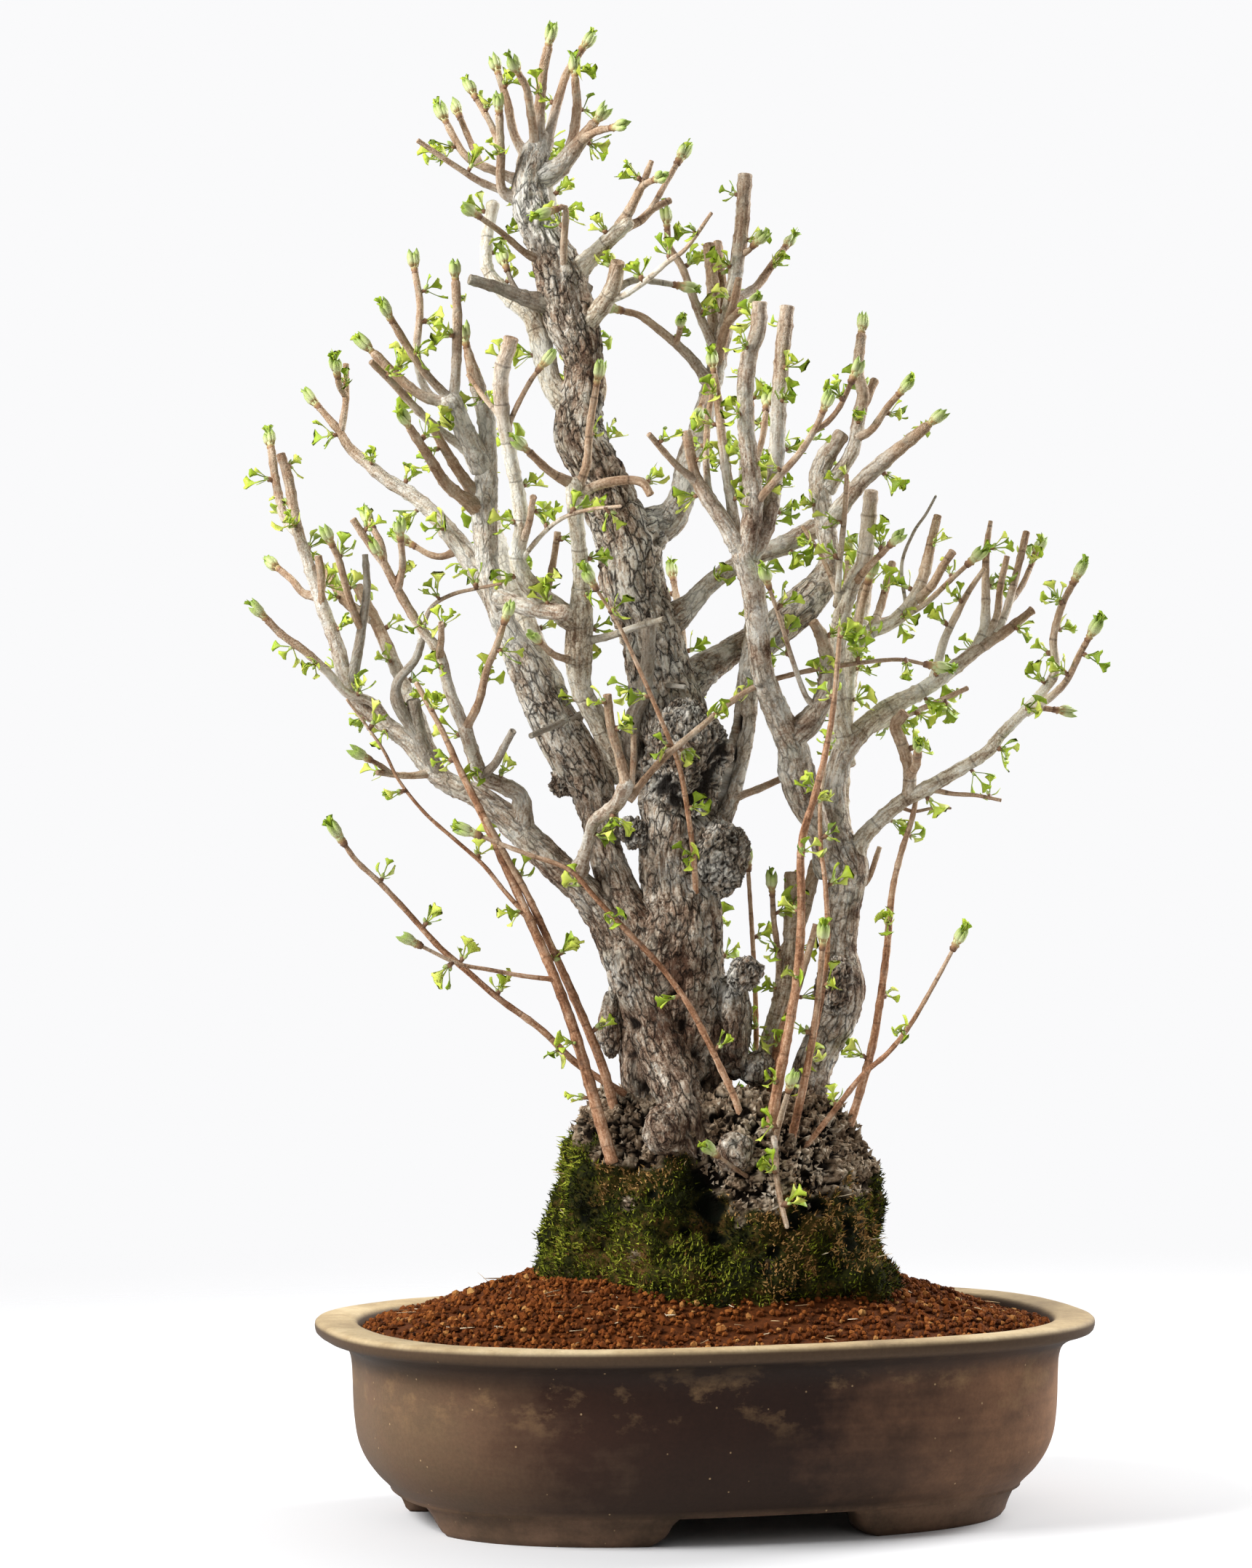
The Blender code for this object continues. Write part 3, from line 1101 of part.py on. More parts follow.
def trunk_shapes(grow=0.0):
    points, radii = placed(TRUNK)
    shapes = [root_mound(grow), tube(points, radii, TRUNK_SIDES, grow)]
    for across, up, depth, *halves in BURLS:
        shapes.append(lump((across, up, depth), halves, grow))
    return shapes


def meets(shape, made):
    """Whether a shape's box comes near an object's."""
    corners = shape[0]
    own = [vert.co / MM for vert in made.data.vertices]
    for axis in range(3):
        if min(c[axis] for c in corners) > max(c[axis] for c in own) + 1.0:
            return False
        if max(c[axis] for c in corners) < min(c[axis] for c in own) - 1.0:
            return False
    return True


def build_plant(surfaces):
    routes = drawn_routes()
    node_of = {"trunk": "trunk"}
    tip_of = {"trunk": JOIN}
    for node, block_of_node in WOOD.items():
        for branch in block_of_node:
            node_of[branch[0]] = node
            tip_of[branch[0]] = branch[4]
    room = Room()
    fill_with_wood(room, routes, node_of, tip_of)
    draw = random.Random(SEED)
    cutters = []
    for node, block_of_node in WOOD.items():
        shapes = branch_shapes(routes, block_of_node)
        for branch in block_of_node:
            shapes += leaves_along(routes[branch[0]], node, room, draw, SPUR_SPACING)
        if node == "trunk":
            shapes = trunk_shapes() + shapes
        made = add_object(node, shapes[0])
        combine(made, shapes[1:], "UNION")
        keep_largest_body(made)
        join_flat_faces(made, TRUNK_FLAT if node == "trunk" else TWIG_FLAT)
        combine(made, [cutter for cutter in cutters if meets(cutter, made)], "DIFFERENCE")
        keep_largest_body(made)
        finish(made, surfaces["old wood" if node == "trunk" else "young wood"], 50)
        if node == "trunk":
            cutters += trunk_shapes(CLEARANCE)
        cutters += branch_shapes(routes, block_of_node, CLEARANCE)
    return [root_mound(CLEARANCE)] + trunk_shapes(CLEARANCE)[1:2]


def main():
    for old in list(bpy.data.objects):
        bpy.data.objects.remove(old)
    surfaces = {
        "old wood": material("old wood", (0.42, 0.38, 0.33), 0.85),
        "young wood": material("young wood", (0.38, 0.42, 0.16), 0.75),
        "stoneware": material("stoneware", (0.16, 0.12, 0.10), 0.7),
        "soil": material("soil", (0.26, 0.11, 0.05), 0.95),
        "screen": material("screen", (0.02, 0.02, 0.02), 0.6),
    }
    roots = build_plant(surfaces)
    build_pot(surfaces["stoneware"])
    build_soil(surfaces["soil"], roots)
    for side in (-1, 1):
        build_screen(side, surfaces["screen"])


main()
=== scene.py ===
# %% [markdown]
# # An old ginkgo bonsai coming into leaf
#
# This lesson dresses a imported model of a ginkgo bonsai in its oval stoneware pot. The packed
# model gives the frame: where each limb, the soil and the pot stand, in metres. Everything below
# is a finer surface laid over those solids, and each one rides on the same body.
#
# The work goes from the frame to the wood, then to what the wood carries, and then down to the
# moss, the soil and the pot. The light and the camera come last.

# %% Load the frame
import functools
import math

import bpy
import numpy as np
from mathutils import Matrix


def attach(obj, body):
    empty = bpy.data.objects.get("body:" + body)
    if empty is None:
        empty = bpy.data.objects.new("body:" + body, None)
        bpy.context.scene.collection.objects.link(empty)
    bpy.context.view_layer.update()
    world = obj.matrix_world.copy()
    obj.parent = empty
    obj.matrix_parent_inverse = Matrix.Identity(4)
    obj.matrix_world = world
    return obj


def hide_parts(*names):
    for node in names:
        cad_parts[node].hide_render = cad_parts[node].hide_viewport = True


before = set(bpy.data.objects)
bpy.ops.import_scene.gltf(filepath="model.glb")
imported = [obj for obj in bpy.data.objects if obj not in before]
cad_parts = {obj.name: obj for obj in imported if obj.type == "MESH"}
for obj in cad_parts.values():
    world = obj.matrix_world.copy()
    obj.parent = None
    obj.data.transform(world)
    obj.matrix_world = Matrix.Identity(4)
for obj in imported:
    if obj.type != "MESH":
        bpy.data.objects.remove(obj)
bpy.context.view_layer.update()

# %% [markdown]
# ## Working units and the drawing of the tree
#
# A tree has no flat faces to measure from, so its limbs are drawn the way a gardener would sketch
# them: on a front elevation, as points across and up, with a depth. Numbers stay in millimetres
# until a mesh is made, because a 4 mm shoot is easier to judge as 4 than as 0.004. `place` turns
# whole arrays of drawn points into the pot's frame: depth spreads them as the eye would see it,
# and the pot is turned 16 degrees against the drawing.

# %% From the elevation to the pot's frame
MM = 0.001
DRAWING_DISTANCE = 2800.0
DRAWING_HEIGHT = 450.0
POT_ACROSS = 50.0
POT_TURN = math.radians(16.0)
COSINE, SINE = math.cos(POT_TURN), math.sin(POT_TURN)
BOX_MIDDLE = np.array([-18.4, 11.4, 0.0])


def turned(across, depth):
    """Rotates the drawing's across and depth by the pot's turn, about the pot's middle."""
    right = across - POT_ACROSS
    return right * COSINE + depth * SINE, -right * SINE + depth * COSINE


def place(across, up, depth):
    """Drawn arrays to points: each is scaled from the drawing's middle by 1 + depth / distance."""
    spread = 1.0 + depth / DRAWING_DISTANCE
    x, y = turned(across * spread, depth)
    height = DRAWING_HEIGHT + (up - DRAWING_HEIGHT) * spread
    return np.stack([x, y, height + 0.0 * x], axis=-1) - BOX_MIDDLE


def drawn(at):
    """The way back: points in the frame to across, up and depth on the drawing."""
    x, y, z = np.moveaxis(at + BOX_MIDDLE, -1, 0)
    depth = x * SINE + y * COSINE
    spread = 1.0 + depth / DRAWING_DISTANCE
    across, up = x * COSINE - y * SINE + POT_ACROSS, z - DRAWING_HEIGHT
    return across / spread, DRAWING_HEIGHT + up / spread, depth


BACKWARDS = np.array([SINE, COSINE, 0.0])
print("away from the viewer:", BACKWARDS.round(3), "there and back:", drawn(place(*np.array([10.0, 300, 20]))))

# %% [markdown]
# ## The drawn limbs
#
# Every branch of the real tree is its own decision by the plant and the grower, so the routes
# are a given list and not the result of a rule. Each branch names the one that it grows
# from, the depths at its two ends, how its tip ends (a pruning cut, a bud, a fine end, or a join
# into another limb), its radii and its route. They are grouped by the solid that they stand for.
# The lists are plain text, a word to each point with commas between its numbers.

# %% The drawn limbs
CUT, BUD, JOIN, THIN = "cut", "bud", "join", "thin"


def numbers(text):
    """An array with a row for each word of a text, from the numbers between its commas."""
    return np.array([[float(value) for value in row.split(",")] for row in text.split()])


# The main trunk: across, up, depth, radius
TRUNK = numbers("""
32,205,-5,46 30,240,-6,34 28,280,-5,32 30,330,0,32 34,370,0,25 30,400,0,21 32,430,0,23 30,465,5,25 26,495,8,23
21,520,10,20 14,548,10,19 4,575,8,20 1,600,8,19 -8,620,8,17.5 -17,643,6,16 -28,665,4,16 -27,690,2,13 -26,712,2,12
-34,740,2,17 -40,765,2,16 -49,785,2,12 -58,805,2,12 -59,822,2,11 -56,838,2,10 -52,850,2,5
""")

# A stem that fused with the trunk's front and runs down over the root base, drawn the same way
FLANK = numbers("""
-2,352,-8,10 6,332,-18,14 17,302,-25,16 27,274,-33,15.5 36,248,-46,14 42,230,-54,12 46,216,-56,7
""")

# The root base, from inside the soil up: up, left edge, right edge, half depth
ROOT_BASE = numbers("""
78,-12,112,58 112,-46,158,84 138,-53,173,92 160,-47,158,85 183,-43,155,78 208,-37,149,72 230,-33,142,64
247,-27,130,52 262,-12,108,34
""")

# Burls and callus knobs: across, up, depth, half across, half up, half deep
BURLS = numbers("""
38,466,-18,26,36,20 59,404,-10,17,24,17 5,421,-12,9,10,9 -9,301,-14,9,22,9 74,332,-30,11,11,12 25,236,-62,17,20,14
68,222,-66,16,17,14 82,274,-5,12,12,12 129,325,4,12,18,12 66,300,-4,14,34,20 -40,451,2,7,9,7
""")

# The rest of the wood. A branch has its name, the one it grows from, its depths (one alone is its
# end's, and the start is at the parent's), its tip, its radii and its points as across and up; a line
# that starts with a space goes on with it. Empty lines part the groups: the first belongs to the
# solid trunk, each later one to the solid with its first branch's name. = stands for that name.
WOOD = """
stem_right - 10,22 join 15,13,12,12.5,13,10.5,10,11,12,9.5,7.5,7,7 108,215 111,250 118,280 130,302 136,322 133,345
 135,365 137,385 138,400 131,420 129,445 133,465 140,477
up_stick stem_right 80 cut 2,1.6 140,476 155,484 182,496 211,509
crown_fork = -5 bud 7,6,4.5,3 -56,826 -42,831 -30,845 -20,858
crown_low crown_fork -25 bud 2.8,2 -28,848 -18,854 -9,856
crown_bud_1 crown_fork 10 bud 3.4,2.6 -40,833 -33,848 -30,868 -31,886
crown_bud_2 = 20 bud 3.2,2.2 -50,842 -44,864 -37,888 -28,903
crown_bud_3 = -10 bud 3.4,2.8 -53,843 -53,868 -51,890 -48,905
crown_bud_4 = -25 bud 2.8,2.2 -55,840 -58,862 -61,880 -65,888
crown_bud_5 = 15 bud 3,2.2 -58,836 -68,850 -73,872 -78,888
crown_bud_6 = -20 bud 3,2.4 -62,812 -76,817 -77,840 -78,864
crown_bud_7 crown_bud_6 0 bud 2.2,1.8 -77,842 -83,858 -92,874
crown_bud_8 = 15 bud 2.8,2 -62,822 -82,830 -98,838 -107,852 -110,858
crown_bud_9 crown_bud_8 30 bud 2.2,1.8 -90,834 -97,850 -102,862
crown_stick = -15 cut 2.6,1.5 -62,812 -88,822 -106,833 -128,848
crown_low_left = -30 bud 2.4,1.7 -48,772 -62,779 -76,791 -90,801
trunk_front_twig = -35 bud 2.6,1.8 -38,748 -38,765 -38,785 -37,806 -42,806
left_dark_arm = -15 cut 5,3.2 -42,746 -62,751 -78,757 -95,762
left_dark_bud left_dark_arm 0 bud 1.9,1.6 -64,751 -70,760 -73,768
grey_riser = -40 cut 5.5,4.8,4.4,4.2,4 2,462 4,488 11,506 14,528 15,549
burl_twig = -35 cut 1.9,1.4 16,512 26,511 37,510
stem_cut stem_right 25 cut 2,1.8 140,385 150,391 157,410
droop_root - -62,-86 thin 2,1.4 92,232 94,205 97,188 100,176
tiny_shoot_a - -62,-88 bud 1.6,1.2 80,204 68,212 57,220
tiny_shoot_b - -52,-79 bud 2,1.6 90,218 96,243 101,260

limb_left trunk 0 join 18,15,11.5,10.5,12,14.5,15.5,14,12,8.5,6.8,6.6,7.6,8.5 14,325 5,358 -5,386 -12,408 -17,432
 -24,454 -38,478 -50,500 -60,520 -70,540 -80,562 -85,586 -87,612 -88,632
bridge_limb = -60 join 6,5,5 -80,566 -60,559 -38,556
left_pale_top = -5 bud 6,5.5,5.5,4.5,3.2,2.2 -87,630 -85,652 -86,675 -92,698 -96,712 -98,720
left_knob = -20 join 6.5,6,6.5,7 -88,645 -96,662 -103,676 -108,686
left_bud_1 left_knob -30 bud 3.2,2.8 -107,682 -105,705 -104,735 -105,760
left_bud_2 left_knob -45 bud 2.8,2.2 -105,685 -120,700 -133,718 -144,736
left_bud_3 left_knob 5 bud 2.7,2 -106,684 -122,692 -129,715 -127,745 -130,766
left_bud_4 left_knob -25 bud 3.4,2.8 -106,685 -125,690 -141,702 -155,716
left_long = -50 cut 3.2,1.8 -90,650 -103,660 -122,675 -142,696 -157,711
left_red = -60 bud 4.5,3.6,3,2.6 -90,620 -110,635 -122,653 -133,670
left_red_2 = -30 cut 3.6,2.6 -92,628 -104,645 -112,658 -119,670
limb_left_back = 40 bud 8,7,6.2,5,4.5,4,3.5,3,2.5,2.1 -76,557.5 -95,587.5 -108,604.5 -119,617.5 -133,629.5
 -148,638.5 -161,649.5 -171,658.5 -178,669.5 -189,682.5
back_stub limb_left_back 45 cut 2.3,1.9 -176,668 -173,688 -173,709
back_bud back_stub 30 bud 2.2,1.9 -173,690 -177,697 -178,702
back_pale limb_left_back 15 bud 2.4,1.8 -100,597 -112,591 -121,592 -130,597
grey_stick = -40 cut 2.4,1.8 -28,492 -42,487 -58,480

limb_low trunk -15 join 16,13,11,9.5,9,8.5,7.5,6.4,6 16,325 -6,358 -23,381 -41,398 -60,416 -76,431 -92,443 -108,450
 -121,459
outer_left = 5 cut 6,5.6,5,5,5,4.4,4,3.6,3.3,3.1,2.6 -119,457 -133,475 -150,488 -165,501 -174,518 -179,537
 -187,558 -196,586 -203,608 -208,636 -213,653
outer_tip outer_left 25 bud 3,2.5 -202,604 -211,615 -216,635 -219,656
outer_side outer_left 20 bud 2.6,2 -190,566 -199,568 -206,576 -213,582
outer_low outer_left -30 bud 3,2.2 -141,479 -156,500 -171,505 -184,519 -198,532 -212,542 -221,551
left_fork_grey outer_left -15 cut 3.6,2 -170,512 -166,530 -163,548 -160,570 -161,591
left_fork_red left_fork_grey -30 bud 2.5,2 -163,545 -170,562 -177,588 -181,597
outer_stub outer_left -5 cut 3,2.3 -181,545 -188,560 -188,577 -190,590
pale_inner = 30 cut 5.5,4.5,4,3.8,3.2 -118,456 -128,490 -141,520 -152,545 -165,571
pale_inner_2 pale_inner 40 cut 3.6,3 -155,551 -172,562 -185,582
dark_stub = -25 cut 5.2,4 -115,454 -126,476 -131,500
dark_arm dark_stub -40 cut 4,4,3,2.6,2.2 -126,477 -140,498 -141,513 -130,527 -124,545
curl_twig dark_arm -65 thin 1.7,1 -127,538 -121,558 -108,567 -92,571 -77,574
short_arm = -45 join 6,5.2,4.8,4.4,4.4,4.2 -64,424 -65,442 -76,449 -89,455 -94,468 -99,484
arm_long short_arm -65 bud 3.8,3.6,3.3,3,2.8,2.4 -98,481 -109,508 -115,531 -127,547 -139,567 -150,588
arm_cut arm_long -70 cut 2.4,2.1 -147,583 -158,598 -168,613
arm_bud_a arm_long -50 bud 2.2,1.9 -149,586 -151,598 -156,608
arm_bud_b arm_long -80 bud 2.2,1.9 -141,569 -138,585 -139,601
arm_stub arm_long -80 cut 2.2,1.8 -115,529 -114,540 -114,549
arm_red short_arm -80 bud 2.6,1.9 -99,484 -91,500 -86,520 -80,535 -75,550
arm_dark short_arm -60 cut 2.8,2.2 -89,455 -81,462 -75,473 -70,482
low_left_twig = -40 cut 2.4,1.8 -119,457 -134,455 -153,457
low_left_spur low_left_twig -45 bud 1.8,1.5 -144,456 -151,461 -158,465
elbow = -70 join 5,3.4,3.6,4.4,4.4 -30,392 -24,411 -19,427 -6,437 1,450
elbow_cut elbow -80 cut 3,2.6 1,449 -4,468 -9,486 -11,504
elbow_side elbow -75 cut 2,1.7 3,448 5,465 5,480
cross_shoot elbow -25 bud 2.5,1.2 2,440 20,462 45,484 76,508 104,518 138,524 168,527 186,524

middle trunk -65 join 8,7,6.5,8.5,8,5.5,4.5,5,5 2,455 -14,485 -27,508 -29,530 -28,550 -27,575 -29,600 -31,620 -32,635
middle_red = -70 bud 2.8,2 -31,630 -24,648 -22,672 -18,696
middle_left = -80 bud 2.8,2.2 -33,636 -46,643 -59,655
middle_shelf = -70 cut 3,2.4 -31,628 -17,635 -2,638 10,637 15,630
post_left = -85 cut 6.5,6,5.6,5,4.6,4.4,4,4.2,4.6,4.2 -29,548 -46,561 -60,574 -67,589 -64,608 -66,628 -71,652
 -76,680 -77,702 -71,724
post_left_stub post_left -100 cut 2.3,1.9 -65,596 -60,610 -57,627
post_left_curl post_left -110 thin 1.7,1 -65,588 -51,605 -38,615 -22,620 -3,622
post_left_fork post_left -80 bud 1.9,1.5 -74,668 -67,684 -59,699 -54,706
pale_stub post_left -40 cut 2.3,2 -50,564 -45,585 -42,605
middle_stick = -80 cut 2.5,1.8 -28,538 -12,541 6,547 23,552
middle_spur = -70 bud 2.3,1.9 -31,526 -44,530 -53,538
left_thin_cross post_left -45 cut 1.9,1.5 -76,676 -88,690 -97,703

right_column trunk 30 join 12,10,8,7,7.5,9.5,11,12,9 40,415 58,435 67,460 73,485 76,510 82,533 96,548 110,561 123,575
back_right_limb trunk 60 join 11,10,9,8.5,8 28,500 45,518 58,527 72,536 90,545
arch_right trunk 40 join 8,6.5,5.6,5.4,5.6,6,6 20,545 40,561 50,572 62,581 78,590 98,598 117,608
crown_right = 40 cut 7,6,6.2,6.5,6,4.5 118,570 126,588 124,610 120,635 123,650 133,665
crown_right_tip crown_right 15 bud 6,5,5,5,4,3.4,3 122,607 134,622 146,637 157,647 170,658 180,666 186,671
crown_right_up crown_right 45 bud 4.5,4.2,4,3.8,3.4,3 124,632 140,655 145,680 147,692 144,706 146,727
crown_right_up2 crown_right_up 50 cut 2.8,2.6 146,684 150,690 154,699
crown_right_side crown_right_up 15 bud 2.6,2 142,664 152,669 162,683 169,691
back_stick = 15 cut 2.4,2 62,440 80,446 96,453 106,457

fork_limb trunk 45 join 14,11,9.5,8,7.5,6.5,6,5.5,5 2,598 16,608 28,615 36,630 39,650 46,670 52,692 57,712 58,725
tall_post = 50 cut 5,4.6,4.6,4.5,4.4 57,712 63,738 68,765 72,795 74,825
tall_side tall_post 40 bud 1.9,1.5 71,778 76,780 79,783
tall_left = 65 cut 4.4,3.8 56,708 55,735 54,760 52,782
tall_back = 80 cut 3.6,3 57,716 60,745 59,765 57,784
red_post = 20 cut 3.4,2.3 56,706 61,728 67,747 70,762
red_bud red_post 5 bud 2.6,2.2 63,736 70,742 76,747
right_reach tall_post 80 bud 3,2.1 66,750 80,757 90,770 98,781
pale_reach = 5 bud 3.6,1.9 53,697 42,712 32,722 20,732 9,740 -2,743
pale_reach_bud pale_reach 0 bud 1.9,1.6 31,723 33,728 34,733
pale_up = 30 bud 3,1.9 57,715 47,738 41,754 35,770 27,783 26,793
small_bud_right = 15 bud 2.2,1.8 55,703 49,690 47,684

shelf_right trunk -20 join 6,5,4.6,4.4 -36,762 -22,775 -10,787 1,797
shelf_up = -30 cut 3.6,1.6 -4,793 3,806 11,822 16,835
shelf_up_bud shelf_up -45 bud 2.2,1.9 9,818 13,822 18,824
shelf_out = -5 cut 3,2 -2,795 8,798 17,806 27,811
shelf_far shelf_out 5 bud 2.1,1.8 15,804 24,820 32,834

knee_right trunk -25 cut 6.5,5.5,5,4.2 -32,730 -17,743 -8,757 -5,771
long_cross = -60 cut 2.4,1.2 -12,750 -2,752 12,761 26,773 38,782 53,803
dark_spur = 0 bud 2.4,1.8 -8,756 6,762 18,761 30,759

pale_loop trunk 25 join 7,6.5,7,6,5,4,3.6,4 -30,680 -45,697 -50,715 -57,738 -74,754 -85,768 -86,785 -82,808

front_right stem_right -80 join 8,7,8,10.5,11,9.5,7.8,7,6.8,6.6,6.6 128,396 122,413 117,427 111,441 106,457 103,474
 93,496 85,519 82,546 79,570 73,592
front_right_b = -45 cut 8,7,5.5,4.8,4,3.2 102,478 115,490 123,505 125,525 122,540 117,549
front_twig front_right_b -80 bud 2,1.4 119,498 112,504 104,525 97,548 89,572
post_1 = -100 cut 7,6.2,5.4,5,4.8,4.6,4.4 74,590 79,620 77,650 74,682 76,712 82,730 83,746
post_2 = -60 cut 5.5,5,4.8,4.6,4.6,4.4 77,590 88,612 93,645 95,685 97,715 100,743
fork_left = -90 cut 6.5,5,4.4,3.2,2.8 74,590 61,612 49,630 43,642 38,667
fork_left_twig fork_left -110 cut 2.4,1.7 44,637 31,648 15,666
fork_mid = -70 bud 4,1.8 70,594 66,622 61,655 57,690 55,704
fork_thin fork_left -60 cut 2.2,1.6 52,626 50,650 51,675 54,694
post_side post_2 -25 bud 2.2,1.8 83,602 80,640 85,665 87,681
long_red post_1 -125 bud 2.4,1.8 79,622 93,638 108,655 118,671 122,680
long_red_fork long_red -115 bud 2,1.7 116,668 125,674 133,684 140,699

limb_right_up stem_right 50 cut 7,6.5,6,5,4.5,4,3.2,2.5 138,474 150,487 165,498 182,507 201,520 220,535 236,545
 251,557
up_twig_1 = 30 cut 3,1.5 191,514 197,538 206,557 213,570 222,583
up_twig_2 = 60 cut 3.8,1.4 216,532 222,545 223,560 223,585 224,600 226,612
up_twig_3 = 45 cut 2.4,2 224,541 230,555 232,572 236,590
up_twig_4 = 70 cut 2.6,2.2 229,543 236,558 244,588 248,605
up_twig_5 up_twig_4 80 bud 2,1.7 236,560 245,572 253,590

limb_right_low stem_right -15 bud 7.5,5.4,4.6,4.6,4.6,4,3.8,3.4,3.1,2.9,2.8,2.4,2.2,2 138,396 146,415 157,427 171,439
 186,447 205,458 224,470 233,481 247,495 259,508 266,520 265,540 270,560 277,574
low_tip = -30 bud 2.6,1.8 248,494 262,503 273,514 281,530 286,539
low_spur = 5 bud 2.2,1.6 249,496 257,497 265,496
low_stub = -5 cut 4,3.4 175,442 176,458 171,475 167,486 172,493
low_big_bud low_stub -30 bud 2.8,2.6 176,455 180,462 181,470
low_cut_twig = 0 cut 1.8,1.2 188,447 202,444 217,443 232,440
low_thin_twig = 15 thin 1.4,0.9 168,437 178,433 190,435 201,435

mid_limb stem_right 50 cut 6,5.5,5,4.6,4.3,4,3.6,3,2.6 134,468 136,500 140,530 150,543 165,550 176,561 184,577 189,598
 193,615
mid_stub = 25 cut 2.8,2.4 180,564 189,572 196,584 202,593
mid_long = 20 bud 2.2,1.6 170,552 186,562 201,576 212,586
mid_dead = 70 thin 1.4,0.9 174,558 171,585 178,605 186,617 192,628
post_back = 65 cut 2.8,2.3 152,545 158,560 165,586
flame_shoot = 25 bud 2.8,2.2 143,536 145,555 150,574

post_right stem_right -25 cut 7,6,5.5,5,4.8,4.5 136,470 130,510 132,545 140,573 148,590 152,629
post_shoot = -45 bud 2.4,1.8 141,574 154,588 164,598
post_thin = -60 thin 2,1.3 131,560 133,590 136,620 137,641
post_pale = 5 cut 1.8,1.3 131,568 122,590 110,609

rear_middle trunk 115 cut 12,11,10,9,7,5.5,4 26,330 24,370 22,410 26,450 30,490 28,530 22,560
rear_middle_right = 155 bud 3,2 27,470 34,500 36,535 30,575
rear_middle_left = 130 bud 3,2 24,430 12,470 6,510 8,545

rear_left limb_left 105 cut 8,4 -46,505 -54,530 -64,556 -74,585 -82,612 -86,640
rear_left_low = 145 bud 3,2 -64,556 -76,575 -84,600 -88,625
rear_left_high = 110 bud 3,2 -80,604 -84,630 -86,665 -90,690

rear_upper trunk 85 cut 8,3.6 4,600 -2,625 -14,650 -22,680 -26,705 -28,725
rear_upper_left = 115 bud 2.8,2 -10,642 -24,660 -30,690 -30,715
rear_upper_right = 100 bud 2.8,2 -21,675 -14,695 -20,720 -30,748

rear_right right_column 115 cut 7,3.6 76,510 80,545 80,580 78,615 76,650 76,690
rear_right_out = 150 bud 3,2 80,562 86,600 92,640 95,680
rear_right_in = 90 bud 3,2 79,600 73,630 74,670 76,705

rear_stem stem_right 115 bud 7,6,5.6,5.4,5,4.4,3 135,365 135,400 133,440 135,480 139,520 147,560 151,600
rear_stem_in = 145 bud 3,2 139,462 134,500 134,540 138,590
rear_stem_out = 150 bud 3,2 142,530 152,547 166,553 178,562

rear_crown trunk 80 cut 5,3 -36,748 -44,765 -52,785 -57,805 -58,830 -54,850
rear_crown_twig = 105 bud 2.6,2 -51,782 -43,800 -48,825 -52,855

rear_shoot - 58,82 bud 3.8,1.9 60,215 63,255 62,300 57,350 52,395

shoot_1 - -62,-50 thin 4.4,1.8 -8,215 -18,250 -28,285 -38,315 -50,345 -62,372 -76,403 -90,434 -101,456 -113,482
 -129,512
shoot_3_side = -90 bud 1.9,1.4 -43,329 -62,331 -84,335 -104,339 -127,350
shoot_4 = -85 thin 1.9,1.1 -61,368 -75,384 -88,400 -106,416 -124,432 -140,452 -151,473 -172,502

shoot_2 - -35,-61 thin 3.6,2 -6,245 -13,272 -24,300 -38,332 -48,354 -60,380 -72,402 -86,428

shoot_3 - -30,-82 bud 2.6,1.7 0,258 -30,277 -52,298 -78,317 -100,336 -116,350 -135,371 -152,389 -166,402 -174,413

shoot_5 - -52,-77 bud 2.6,1.5 76,225 69,252 60,272 50,293 38,315 21,338 0,360 -18,379 -35,397 -62,407 -90,418

shoot_6 trunk -80 bud 2.6,1.3 40,318 44,350 43,395 39,430 33,462 22,490 10,518 -4,548 -18,571

shoot_7 - -55,-82 thin 4.2,1.6 83,200 90,238 96,272 102,303 107,335 109,372 109,412 117,442 124,470 129,500 133,546

shoot_8 - -45,-66 bud 3,2 98,212 107,248 114,282 119,315 122,348

shoot_9 - -30,-55 thin 2.4,1.4 104,240 118,300 125,345 124,385 121,412 121,442 126,478

shoot_10 - 0,11 thin 3.2,1.8 133,222 143,252 152,284 158,318 162,350 165,382 170,405 177,427 180,441

shoot_11 - -40,-66 bud 2.4,1.5 96,208 115,230 131,250 147,270 162,283 175,299 186,317 196,335 203,348

shoot_12 - 25,22 bud 2.2,1.7 80,240 81,290 80,330 78,365 76,397

old_stub - 15,11 cut 6,4.4 80,250 89,290 97,318 102,345 103,368 103,393
pale_stub_back = 25 cut 4.6,4 99,343 109,368 118,400
shoot_14 = 0 bud 2,1.6 94,318 95,340 92,365 91,381

shoot_13 - 0,0 cut 3,2.4 88,250 95,292 106,322 118,362
"""

branches = []
for group in WOOD.replace("\n ", " ").strip().split("\n\n"):
    solid = group.split()[0] if branches else "trunk"
    for name, parent, *form, points in (line.split(maxsplit=5) for line in group.split("\n")):
        branches.append((solid, name, solid if parent == "=" else parent, *form, numbers(points)))
print("branches drawn:", len(branches))

# %% [markdown]
# ## Smooth routes
#
# Wood never bends at a point. A Catmull-Rom curve runs through every drawn point and is then
# walked at an even step, so that bark keeps one scale along the limb. The whole curve is worked
# out as one array: four neighbouring points and four weights give each piece.

# %% Smooth routes through the drawn points
CURVE_STEPS = 24


def lengths(points):
    """Lengths from the first of the points to each of them."""
    return np.concatenate([[0.0], np.cumsum(np.linalg.norm(np.diff(points, axis=0), axis=1))])


